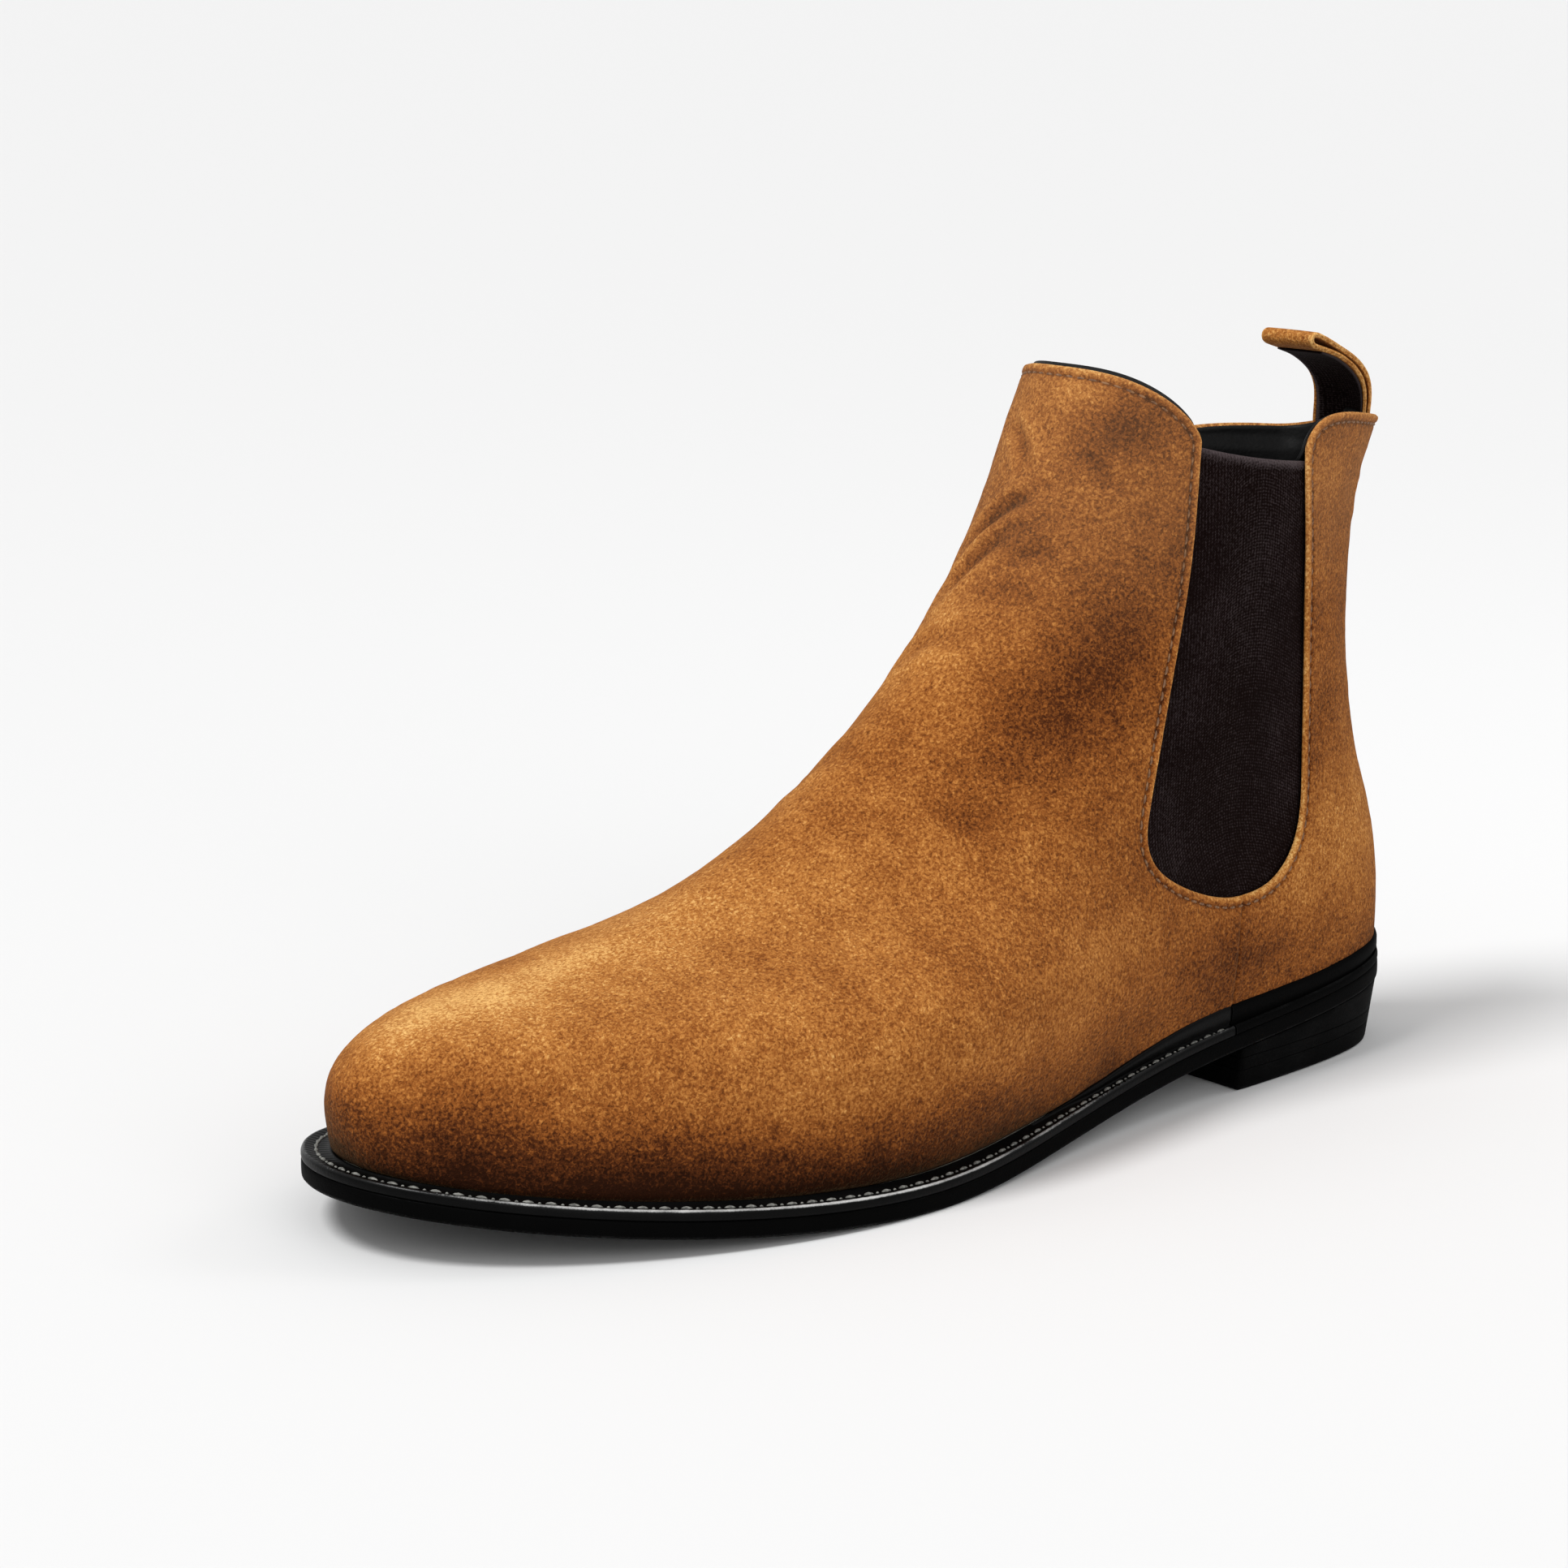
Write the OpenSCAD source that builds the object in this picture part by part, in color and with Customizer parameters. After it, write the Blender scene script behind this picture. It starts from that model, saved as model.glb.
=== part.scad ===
// Chelsea boot, left foot, with a sewn welt: suede upper with elastic side gores on a thin
// leather sole with a low stacked heel.
// +X points to the toe, +Y to the outer (lateral) side and +Z up.
// The origin is the centre of the heel's contact face on the ground.

/* [Sole] */
// Thickness of the outsole
outsole_t = 4; // [3.5:0.5:6]
// Thickness of the welt
welt_t = 2.4; // [2:0.2:3.2]
// How far the welt stands out past the upper at the forepart
welt_w = 6.5; // [5:0.5:8]
// Height of the outsole's underside at the toe
toe_spring = 11.5; // [8:0.5:14]
// Where the sole touches the ground behind the ball of the foot
ball_x = 150; // [140:1:160]
// Thickness of the insole
insole_t = 3; // [2:0.5:4]
// Thickness of the sock lining
sock_t = 1; // [0.8:0.1:1.5]

/* [Heel] */
// Height of the outsole's underside at the heel breast
breast_h = 10.5; // [10:0.5:13]
// Rise of the seat for each millimetre towards the back
seat_slope = 0.09; // [0.05:0.01:0.12]
// Position of the heel breast
breast_x = 36; // [32:1:40]
// Thickness of the rubber top piece
top_piece_t = 5; // [4:0.5:6]
// How far the heel block draws in towards the ground
heel_taper = 2.5; // [1:0.5:4]

/* [Upper] */
// Thickness of the suede
suede_t = 1.4; // [1.2:0.1:1.6]
// Thickness of the toe puff, the heel counter and the gore elastic
middle_t = 0.9; // [0.7:0.1:1]
// Thickness of the lining leather
lining_t = 0.8; // [0.6:0.1:1]
// Clearance between two layers of the upper
layer_gap = 0.4; // [0.3:0.05:0.5]
// Height of the front tab above the top of the gores, in net levels
front_tab = 0.62; // [0.4:0.02:0.7]
// Height of the back tab above the top of the gores, in net levels
back_tab = 0.72; // [0.4:0.02:0.75]

/* [Pull loop] */
// Width of the strap
strap_w = 17; // [15:1:22]
// Thickness of the strap
strap_t = 1.4; // [1:0.1:1.6]
// Thickness of the ribbon on the strap's front
ribbon_t = 0.5; // [0.4:0.1:0.7]

/* [Stitching] */
// Spacing of the welt stitches
welt_pitch = 4.8; // [3.6:0.2:6]
// Spacing of the stitches on the upper
upper_pitch = 3.4; // [2.8:0.2:5]

/* [Hidden] */

// Control points of the sole's outline, seen from above: toe, lateral side, heel, medial side.
SOLE_PTS = [[270, -5], [263, 17], [240, 37], [200, 54], [153, 60], [106, 45], [58, 33], [12, 31],
            [-25, 23], [-37, 0], [-25, -23], [12, -31], [58, -27], [106, -27], [153, -42],
            [200, -56], [240, -48], [261, -28]];
COLS = len(SOLE_PTS);
BACK = COLS / 2;
// Welt width at each control point, as a share of the forepart's.
WELT_SHARE = [1, 1, 1, 1, 1, 0.75, 0.45, 0.3, 0.22, 0.22, 0.22, 0.3, 0.45, 0.75, 1, 1, 1, 1];

// The upper is a net of rings. Each ring lies in a plane from a point of the back line to a point of
// the front line: [back x, back z, front x, front z, share of the sole's bend, half-widths, trim].
// The half-widths belong to these shares of the ring's length, from the front to the back. The trim
// is the share by which the medial side is narrower, from the trimmed station to the back.
STATIONS = [0.975, 0.905, 0.78, 0.627, 0.476, 0.32, 0.17, 0.044];
TRIMMED_STATION = 4;
RINGS = [[-37, 34, 268, 32, 0.95, [14, 30, 46, 52, 44, 34, 31, 23], 0],
         [-37, 46, 260, 44, 0.75, [11, 26, 42, 49, 42, 33, 30.5, 22.5], 0],
         [-33.5, 60, 230, 48, 0.50, [9, 22, 35, 43, 38, 32, 29, 21], 0],
         [-28, 75, 187, 56, 0.30, [8, 19, 30, 36, 35, 32, 27, 18], 0],
         [-25.5, 92, 146.5, 75.5, 0.15, [8, 18, 27, 33, 33, 31, 24.5, 14.5], 0],
         [-25, 110, 114, 100, 0, [9, 18, 26, 30, 30, 28, 22, 12], 0],
         [-26, 126, 91.5, 124.5, 0, [10, 19, 26, 29, 29, 27, 20, 11], 0.06],
         [-29, 139, 79, 148.5, 0, [11, 20, 26, 29, 29, 26, 19, 10], 0.14],
         [-37, 152, 69, 171, 0, [11, 20, 26, 29, 29, 25, 18, 9], 0.24]];
TOP = len(RINGS);
// The sole's bend: how far its centre line lies to the lateral side at each x.
BEND = [[-50, 0], [20, 0], [58, 2.5], [106, 8.5], [153, 8.5], [200, -1.5], [239, -6], [280, -6]];
// The instep's ridge leans this far to the medial side at the toe.
RIDGE_LEAN = 5;

// Side seam and gore edges, in net columns and levels.
SEAM_U = 6.45;
GORE_BOTTOM = 2.2;
GORE_BEND = 4.2;
GORE_TOP_FRONT = 8.38;
GORE_TOP_BACK = 8.2;
GORE_HIDDEN = 0.32;

edge_t = outsole_t + welt_t;
seat_gap = 0.3;
insole_z = edge_t + seat_gap;
sock_z = insole_z + insole_t + 0.1;
rib_top = insole_z - 0.1;
mid_in = suede_t + layer_gap;
lining_in = mid_in + middle_t + layer_gap;
lining_out = lining_in + lining_t;
toe_x = 266;
suede = [0.72, 0.46, 0.2];
black = [0.06, 0.06, 0.06];
elastic = [0.2, 0.13, 0.12];

// ---- curves -------------------------------------------------------------------------------------

function mix(a, b, t) = a + (b - a) * t;
function clamp01(t) = min(max(t, 0), 1);
function smooth(a, b, x) = let (t = clamp01((x - a) / (b - a))) t * t * (3 - 2 * t);

// Weights of the uniform cubic B-spline.
function weights(t) = [pow(1 - t, 3) / 6,
                       (3 * t * t * t - 6 * t * t + 4) / 6,
                       (-3 * t * t * t + 3 * t * t + 3 * t + 1) / 6,
                       t * t * t / 6];

// A point of the closed spline through a list of control values.
function ring_at(list, u) =
    let (j = floor(u), b = weights(u - j), n = len(list))
    b[0] * list[(j - 1 + 2 * n) % n] + b[1] * list[(j + 2 * n) % n]
    + b[2] * list[(j + 1 + 2 * n) % n] + b[3] * list[(j + 2 + 2 * n) % n];

// Height of the outsole's underside: toe spring, arch at the waist, and the seat over the heel.
function lift(x) =
    let (span = ball_x - breast_x, s = clamp01((ball_x - x) / span))
    toe_spring * pow(max((x - ball_x) / (toe_x - ball_x), 0), 1.8)
    + breast_h * (3 * s * s - 2 * s * s * s) + seat_slope * span * (s * s * s - s * s)
    + max(breast_x - x, 0) * seat_slope;

function outward(u) =
    let (e = 0.02, t = ring_at(SOLE_PTS, u + e) - ring_at(SOLE_PTS, u - e)) [t.y, -t.x] / norm(t);

// The sole's outline, moved in by a share of the welt's width and by a length.
function plan_at(u, share, inset) =
    ring_at(SOLE_PTS, u) - outward(u) * (share * welt_w * ring_at(WELT_SHARE, u) + inset);
PLAN_STEPS = 90;
function plan(share, inset) =
    [for (k = [0 : PLAN_STEPS - 1]) plan_at(k * COLS / PLAN_STEPS, share, inset)];

// ---- the upper's surface ------------------------------------------------------------------------

function ring_y(x, bend_share) =
    bend_share * lookup(x, BEND) - (1 - bend_share) * RIDGE_LEAN * smooth(90, 250, x);
function net_ring(r) =
    [for (j = [0 : COLS - 1])
        let (side = j == 0 || j == BACK ? 0 : j < BACK ? 1 : -1,
             k = j < BACK ? j - 1 : COLS - 1 - j,
             s = j == 0 ? 1 : j == BACK ? 0 : STATIONS[k],
             x = mix(r[0], r[2], s),
             trim = side < 0 && k >= TRIMMED_STATION ? r[6] : 0,
             w = side == 0 ? 0 : r[5][k] * (1 - trim))
        [x, ring_y(x, r[4]) + side * w, mix(r[1], r[3], s)]];
// The lowest ring is the feather line, where the upper meets the welt.
FEATHER = [for (j = [0 : COLS - 1])
    let (t = SOLE_PTS[(j + 1) % COLS] - SOLE_PTS[(j - 1 + COLS) % COLS],
         p = SOLE_PTS[j] - [t.y, -t.x] / norm(t) * welt_w * WELT_SHARE[j])
    [p.x, p.y, lift(p.x) + edge_t + seat_gap]];
NET = concat([FEATHER], [for (r = RINGS) net_ring(r)]);
// One more ring past each end, so that the surface ends on the first and the last ring.
ROWS = concat([2 * NET[0] - NET[1]], NET, [2 * NET[TOP] - NET[TOP - 1]]);

// Below the first ring the surface is eased up or down, so that it ends just above the welt.
function seating(u, v) =
    v >= 1 ? 0 : let (f = ring_at(FEATHER, u)) (lift(f.x) + edge_t + seat_gap - f.z) * pow(1 - v, 2);
function skin(u, v) =
    let (i = min(floor(v), TOP - 1), b = weights(v - i))
    b[0] * ring_at(ROWS[i], u) + b[1] * ring_at(ROWS[i + 1], u)
    + b[2] * ring_at(ROWS[i + 2], u) + b[3] * ring_at(ROWS[i + 3], u) + [0, 0, seating(u, v)];
function skin_out(u, v) =
    let (e = 0.03, v0 = max(v - e, 0), v1 = min(v + e, TOP),
         n = cross(skin(u + e, v) - skin(u - e, v), skin(u, v1) - skin(u, v0)))
    n / norm(n);
// A point at a depth below the upper's outer surface.
function under(u, v, depth) = skin(u, v) - depth * skin_out(u, v);

// The gore's bottom is rounded: 0 at its lowest point, 1 where its edges run straight on.
function gore_arc(v, power) =
    let (t = clamp01((GORE_BEND - v) / (GORE_BEND - GORE_BOTTOM)))
    v <= GORE_BOTTOM ? 0 : pow(1 - pow(t, power), 1 / power);
function gore_front(v) = SEAM_U - (SEAM_U - (6.7 - 0.405 * v)) * gore_arc(v, 2);
function gore_back(v) = SEAM_U + (6.95 - 0.06 * pow(v - 3.2, 2) - SEAM_U) * gore_arc(v, 3);
// Topline of the front tab and of the back tab: 0 at the tab's middle, 1 at the gore.
function vamp_top(p) = GORE_TOP_FRONT + front_tab * pow(1 - pow(min(abs(p), 1), 3.4), 1 / 1.6);
// The back tab is lower on its medial side.
MEDIAL_DROP = 0.42;
function quarter_top(p) =
    GORE_TOP_BACK + back_tab * (1 - MEDIAL_DROP * smooth(0, 0.5, p)) * sqrt(1 - pow(min(abs(p), 1), 8));

// Levels of a panel's rows: closely spaced round the gore's bottom, up to the panel's topline.
LOW_ROWS = 5;
ARC_ROWS = 6;
HIGH_ROWS = 6;
ROW_COUNT = LOW_ROWS + ARC_ROWS + HIGH_ROWS;
function level(k, v_top) =
    k <= LOW_ROWS ? GORE_BOTTOM * k / LOW_ROWS
    : k <= LOW_ROWS + ARC_ROWS
        ? GORE_BOTTOM + (GORE_BEND - GORE_BOTTOM) * (1 - cos(90 * (k - LOW_ROWS) / ARC_ROWS))
    : mix(GORE_BEND, v_top, (k - LOW_ROWS - ARC_ROWS) / HIGH_ROWS);
// Columns crowd towards a panel's edges, where the tabs round off.
function spread(s) = mix(s, sin(90 * s), 0.6);
// A panel's grid from one row and column to another, starting at a lowest level.
function vamp_grid(k0, k1, c0, c1, low = 0) =
    [for (k = [k0 : k1]) [for (c = [c0 : c1])
        let (p = spread(2 * c / VAMP_COLS - 1), v = max(low, level(k, vamp_top(p))))
        [p * gore_front(v), v]]];
// The quarter's grid can be drawn in towards the back, which leaves a gap at the side seams.
function quarter_grid(k0, k1, c0, c1, low = 0, share = 1) =
    [for (k = [k0 : k1]) [for (c = [c0 : c1])
        let (p = spread(2 * c / QUARTER_COLS - 1), v = max(low, level(k, quarter_top(p))))
        [BACK + share * p * (BACK - gore_back(v)), v]]];
function gore_grid(cols, rows, side) =
    [for (k = [0 : rows]) [for (c = [0 : cols])
        let (s = side > 0 ? c / cols : 1 - c / cols,
             v = mix(GORE_BOTTOM - 0.3, mix(GORE_TOP_FRONT, GORE_TOP_BACK, s) - 0.16 * s * (1 - s),
                     pow(k / rows, 1.4)),
             u = mix(gore_front(v) - GORE_HIDDEN, gore_back(v) + GORE_HIDDEN, s))
        [side > 0 ? u : COLS - u, v]]];

// ---- building blocks ----------------------------------------------------------------------------

// A closed solid between two matching grids of points; columns run counter-clockwise seen from above.
module between(outer, inner) {
    rows = len(outer) - 1;
    cols = len(outer[0]) - 1;
    half = (rows + 1) * (cols + 1);
    function id(k, c) = k * (cols + 1) + c;
    skins = [for (k = [0 : rows - 1]) for (c = [0 : cols - 1])
        let (a = id(k, c), b = id(k, c + 1), d = id(k + 1, c + 1), e = id(k + 1, c))
        each [[a, e, d], [a, d, b], [a + half, d + half, e + half], [a + half, b + half, d + half]]];
    ends = [for (c = [0 : cols - 1])
        let (a = id(0, c), b = id(0, c + 1), e = id(rows, c), d = id(rows, c + 1))
        each [[a, b, b + half], [a, b + half, a + half], [d, e, e + half], [d, e + half, d + half]]];
    sides = [for (k = [0 : rows - 1])
        let (a = id(k, 0), e = id(k + 1, 0), b = id(k, cols), d = id(k + 1, cols))
        each [[e, a, a + half], [e, a + half, e + half], [b, d, d + half], [b, d + half, b + half]]];
    polyhedron(points = concat([for (r = outer) each r], [for (r = inner) each r]),
               faces = concat(skins, ends, sides));
}

// A layer of the upper between two depths.
module layer(grid, depth_out, depth_in) {
    between([for (r = grid) [for (q = r) under(q.x, q.y, depth_out)]],
            [for (r = grid) [for (q = r) under(q.x, q.y, depth_in)]]);
}

// The part of a plan outline between two heights above the outsole's underside. The cutting blocks
// reach well past the boot on all sides.
SLAB_STEP = 8;
SLAB_X = [for (k = [-11 : 30]) breast_x + k * SLAB_STEP];
CUT_W = 160;
CUT_H = 60;
CUT_L = 400;
module slab(z0, z1) {
    rotate([90, 0, 0])
        linear_extrude(height = CUT_W, center = true)
            polygon(concat([for (x = SLAB_X) [x, lift(x) + z0]],
                           [for (k = [len(SLAB_X) - 1 : -1 : 0]) [SLAB_X[k], lift(SLAB_X[k]) + z1]]));
}
module sole_layer(share, inset, z0, z1) {
    intersection() {
        linear_extrude(height = CUT_H) polygon(plan(share, inset));
        slab(z0, z1);
    }
}
module sole_ring(share, inset, share_in, inset_in, z0, z1) {
    intersection() {
        linear_extrude(height = CUT_H)
            difference() {
                polygon(plan(share, inset));
                polygon(plan(share_in, inset_in));
            }
        slab(z0, z1);
    }
}
module before(x) { translate([x, -CUT_W / 2, 0]) cube([CUT_L, CUT_W, CUT_H]); }
module behind(x) { translate([x - CUT_L, -CUT_W / 2, 0]) cube([CUT_L, CUT_W, CUT_H]); }

// A stitch at a point, along a direction and flat on a surface with the given normal. Its size is
// [length, width, height].
module stitch(p, along, up, size) {
    z = up / norm(up);
    x = along / norm(along);
    y = cross(z, x);
    multmatrix([[x.x, y.x, z.x, p.x], [x.y, y.y, z.y, p.y], [x.z, y.z, z.z, p.z], [0, 0, 0, 1]])
        cube(size, center = true);
}

// ---- sole and heel ------------------------------------------------------------------------------

// Clearance between two layers of the sole or heel.
layer_clear = 0.03;
module outsole() {
    color(black) sole_layer(0, 0, 0, outsole_t);
}
WELT_BACK = breast_x - 6;
module welt() {
    color(black)
        intersection() {
            sole_ring(0, 0, 1, 1, outsole_t + layer_clear, edge_t);
            before(WELT_BACK);
        }
}
module heel_rand() {
    color(black)
        intersection() {
            sole_ring(0, 0, 1, 1, outsole_t + layer_clear, edge_t);
            behind(WELT_BACK - 0.2);
        }
}

// Outline of the heel block, drawn in by a length, from the breast round the back to the breast.
HEEL_U0 = 6.48;
HEEL_STEPS = 26;
HEEL_INSET = 0.6;
HEEL_CENTRE = 36;
function heel_ring(inset) =
    [for (k = [0 : HEEL_STEPS])
        let (q = plan_at(mix(HEEL_U0, COLS - HEEL_U0, k / HEEL_STEPS), 0, inset))
        [min(q.x, breast_x), q.y]];
function seat_share(x, z) = clamp01(z / lift(x));
// A slice of the tapered heel between two heights; a height above the seat means the seat itself.
module heel_slice(z0, z1) {
    function at(z) = [for (q0 = heel_ring(0))
        let (draw = heel_taper * (1 - seat_share(q0.x, z)) + HEEL_INSET,
             c = [breast_x - HEEL_CENTRE, 0],
             away = (q0 - c) / norm(q0 - c),
             q = q0 - [q0.x >= breast_x - 0.01 ? 0 : away.x, away.y] * draw)
        [q.x, q.y, min(z, lift(q.x) - layer_clear)]];
    low = at(z0);
    high = at(z1);
    n = len(low);
    polyhedron(
        points = concat(low, high, [[0, 0, z0], [0, 0, min(z1, lift(0) - layer_clear)]]),
        faces = concat(
            [for (k = [0 : n - 1]) let (m = (k + 1) % n) each [[k, k + n, m + n], [k, m + n, m]]],
            [for (k = [0 : n - 1]) let (m = (k + 1) % n) each [[k, m, 2 * n], [m + n, k + n, 2 * n + 1]]]));
}
lift_split = top_piece_t + 3.2;
module heel_top_piece() { color(black) heel_slice(0, top_piece_t); }
module heel_lift_lower() { color(black) heel_slice(top_piece_t + layer_clear, lift_split); }
module heel_lift_upper() { color(black) heel_slice(lift_split + layer_clear, CUT_H); }

// Nails follow the heel's outline at a distance from its edge. The heel's own nails run from the
// top piece up into the outsole; the others hold the top piece to the lifts.
NAIL_END = 0.6;
NAIL_FN = 16;
heel_nail_z = [6, 14.5];
top_nail_z = [0, 7.5];
module nail_row(count, inset, z, radius) {
    for (k = [0 : count - 1]) {
        q = plan_at(mix(HEEL_U0 + NAIL_END, COLS - HEEL_U0 - NAIL_END, k / (count - 1)), 0, inset);
        translate([q.x, q.y, z[0]]) cylinder(h = z[1] - z[0], r = radius, $fn = NAIL_FN);
    }
}
module heel_nails() { color("silver") nail_row(9, 11, heel_nail_z, 0.9); }
module top_piece_nails() { color("goldenrod") nail_row(11, 7, top_nail_z, 0.6); }

module insole() { color("tan") sole_layer(1, 6, insole_z, insole_z + insole_t); }
module sock_lining() { color([0.1, 0.09, 0.08]) sole_layer(1, 6.5, sock_z, sock_z + sock_t); }
module insole_rib() {
    color("beige")
        intersection() {
            sole_ring(1, 1.6, 1, 3.4, outsole_t + 0.1, rib_top);
            before(WELT_BACK);
        }
}
// The shank lies on the outsole under the arch, and the cork fills round and over it.
shank_x = 30;
shank_l = 105;
shank_w = 13;
shank_t = 1.2;
shank_y = 2;
module shank_cut(extra) {
    translate([shank_x - extra, shank_y - shank_w / 2 - extra, 0])
        cube([shank_l + 2 * extra, shank_w + 2 * extra, CUT_H]);
}
module shank() {
    color("silver")
        intersection() {
            shank_cut(0);
            slab(outsole_t + 0.1, outsole_t + 0.1 + shank_t);
        }
}
module cork_filler() {
    color("peru")
        difference() {
            sole_layer(1, 3.7, outsole_t + 0.1, rib_top);
            intersection() {
                shank_cut(0.2);
                slab(outsole_t - 1, outsole_t + 0.2 + shank_t);
            }
        }
}

// ---- upper --------------------------------------------------------------------------------------

VAMP_COLS = 34;
QUARTER_COLS = 22;
// The hidden layers end this many levels above the welt, clear of the insole rib.
HIDDEN_LOW = 0.2;
PUFF_ROWS = 4;
PUFF_MARGIN = 11;
COUNTER_ROWS = 4;
COUNTER_MARGIN = 2;
LINING_SHARE = 0.985;
module vamp() { color(suede) layer(vamp_grid(0, ROW_COUNT, 0, VAMP_COLS), 0, suede_t); }
module quarter() {
    color(suede) layer(quarter_grid(0, ROW_COUNT, 0, QUARTER_COLS, share = 0.995), 0, suede_t);
}
module vamp_lining() {
    color(black) layer(vamp_grid(0, ROW_COUNT, 0, VAMP_COLS, HIDDEN_LOW), lining_in, lining_out);
}
module quarter_lining() {
    color(black)
        layer(quarter_grid(0, ROW_COUNT, 0, QUARTER_COLS, HIDDEN_LOW, LINING_SHARE),
              lining_in, lining_out);
}
module toe_puff() {
    color("ivory")
        layer(vamp_grid(0, PUFF_ROWS, PUFF_MARGIN, VAMP_COLS - PUFF_MARGIN, HIDDEN_LOW),
              mid_in, mid_in + middle_t);
}
module heel_counter() {
    color("ivory")
        layer(quarter_grid(0, COUNTER_ROWS, COUNTER_MARGIN, QUARTER_COLS - COUNTER_MARGIN, HIDDEN_LOW),
              mid_in, mid_in + middle_t);
}
module gore(side) { color(elastic) layer(gore_grid(10, 16, side), mid_in, mid_in + middle_t); }
module lateral_gore() { gore(1); }
module medial_gore() { gore(-1); }

// ---- pull loop ----------------------------------------------------------------------------------

// The strap leaves the back's top edge, curls forward and doubles back behind itself.
STRAP_PATH = [[-31, 149], [-31.3, 154], [-29.5, 159.5], [-24.5, 164.5], [-16.5, 169], [-6.5, 172.5]];
function path_at(t) =
    let (n = len(STRAP_PATH) - 1, w = clamp01(t) * n, i = min(floor(w), n - 1), b = weights(w - i),
         e = concat([2 * STRAP_PATH[0] - STRAP_PATH[1]], STRAP_PATH,
                    [2 * STRAP_PATH[n] - STRAP_PATH[n - 1]]))
    b[0] * e[i] + b[1] * e[i + 1] + b[2] * e[i + 2] + b[3] * e[i + 3];
function path_side(t) = let (d = path_at(t + 0.01) - path_at(t - 0.01)) [d.y, -d.x] / norm(d);
// A band across the boot between two distances in front of the path.
module band(t0, t1, d0, d1, width, steps) {
    function line(d) = [for (k = [0 : steps])
        let (t = mix(t0, t1, k / steps)) path_at(t) + d * path_side(t)];
    back = line(d0);
    rotate([90, 0, 0])
        linear_extrude(height = width, center = true)
            polygon(concat(line(d1), [for (k = [steps : -1 : 0]) back[k]]));
}
LOOP_START = 0.32;
leg_gap = 0.6;
module pull_loop() {
    color(suede)
        union() {
            band(LOOP_START, 0.99, leg_gap / 2, leg_gap / 2 + strap_t, strap_w, 12);
            band(LOOP_START, 0.99, -leg_gap / 2 - strap_t, -leg_gap / 2, strap_w, 12);
            band(0.93, 0.99, -leg_gap, leg_gap, strap_w, 2);
        }
}
module pull_loop_ribbon() {
    front = leg_gap / 2 + strap_t + layer_clear;
    color(elastic) band(LOOP_START, 0.9, front, front + ribbon_t, strap_w - 3, 11);
}
// The strap's two ends, sewn in between the quarter and its lining, reach up to the topline.
anchor_t = 0.9;
ANCHOR_ROWS = 2;
ANCHOR_HALF = 2;
module pull_loop_anchor() {
    middle = QUARTER_COLS / 2;
    color(suede)
        layer(quarter_grid(ROW_COUNT - ANCHOR_ROWS, ROW_COUNT, middle - ANCHOR_HALF,
                           middle + ANCHOR_HALF, share = LINING_SHARE),
              mid_in, mid_in + anchor_t);
}

// ---- stitching ----------------------------------------------------------------------------------

// Points at even spacing along a path given as a list of [point, outward normal].
function run(path) = [for (k = 0, s = 0; k < len(path);
    s = s + (k + 1 < len(path) ? norm(path[k + 1][0] - path[k][0]) : 0), k = k + 1) s];
function find(list, s, k = 0) = k >= len(list) - 2 || list[k + 1] > s ? k : find(list, s, k + 1);
module sew(path, pitch, size, sink) {
    at = run(path);
    count = floor(at[len(at) - 1] / pitch);
    for (m = [0 : count - 1]) {
        s = (m + 0.5) * pitch;
        k = find(at, s);
        t = (s - at[k]) / (at[k + 1] - at[k]);
        n = mix(path[k][1], path[k + 1][1], t);
        stitch(mix(path[k][0], path[k + 1][0], t) - n * sink, path[k + 1][0] - path[k][0], n, size);
    }
}
function on_skin(u, v) = [skin(u, v), skin_out(u, v)];
UPPER_STITCH = [2.2, 0.6, 0.5];
WELT_STITCH = [2.6, 0.8, 0.6];
INSEAM_STITCH = [4, 1.6, 0.8];
SEAM_STITCH = [2.2, 1.2, 0.3];
LOOP_STITCH = [2.2, 0.6, 0.4];
STITCH_SINK = 0.05;
inseam_pitch = 10;

module welt_stitches() {
    color("gray")
        sew([for (k = [0 : 150])
                let (u = mix(-HEEL_U0 + 0.3, HEEL_U0 - 0.3, k / 150), q = plan_at(u, 0.5, 0))
                [[q.x, q.y, lift(q.x) + edge_t], [0, 0, 1]]],
            welt_pitch, WELT_STITCH, 0);
}
module inseam_stitches() {
    color("gray")
        sew([for (k = [0 : 120])
                let (u = mix(-HEEL_U0 + 0.3, HEEL_U0 - 0.3, k / 120), q = plan_at(u, 1, 1.3))
                [[q.x, q.y, lift(q.x) + outsole_t + 1.2], [0, 0, 1]]],
            inseam_pitch, INSEAM_STITCH, 0);
}
STITCH_IN = 0.2;
module gore_stitches(side) {
    function u_of(u) = side > 0 ? u : COLS - u;
    front = [for (k = [0 : 40]) let (v = level(LOW_ROWS + 0.2 + 11.6 * k / 40, GORE_TOP_FRONT))
        on_skin(u_of(gore_front(v) - STITCH_IN), v)];
    back = [for (k = [0 : 40]) let (v = level(LOW_ROWS + 0.2 + 11.6 * k / 40, GORE_TOP_BACK))
        on_skin(u_of(gore_back(v) + STITCH_IN), v)];
    color("saddlebrown") {
        sew(front, upper_pitch, UPPER_STITCH, STITCH_SINK);
        sew(back, upper_pitch, UPPER_STITCH, STITCH_SINK);
    }
}
module lateral_gore_stitches() { gore_stitches(1); }
module medial_gore_stitches() { gore_stitches(-1); }
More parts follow.
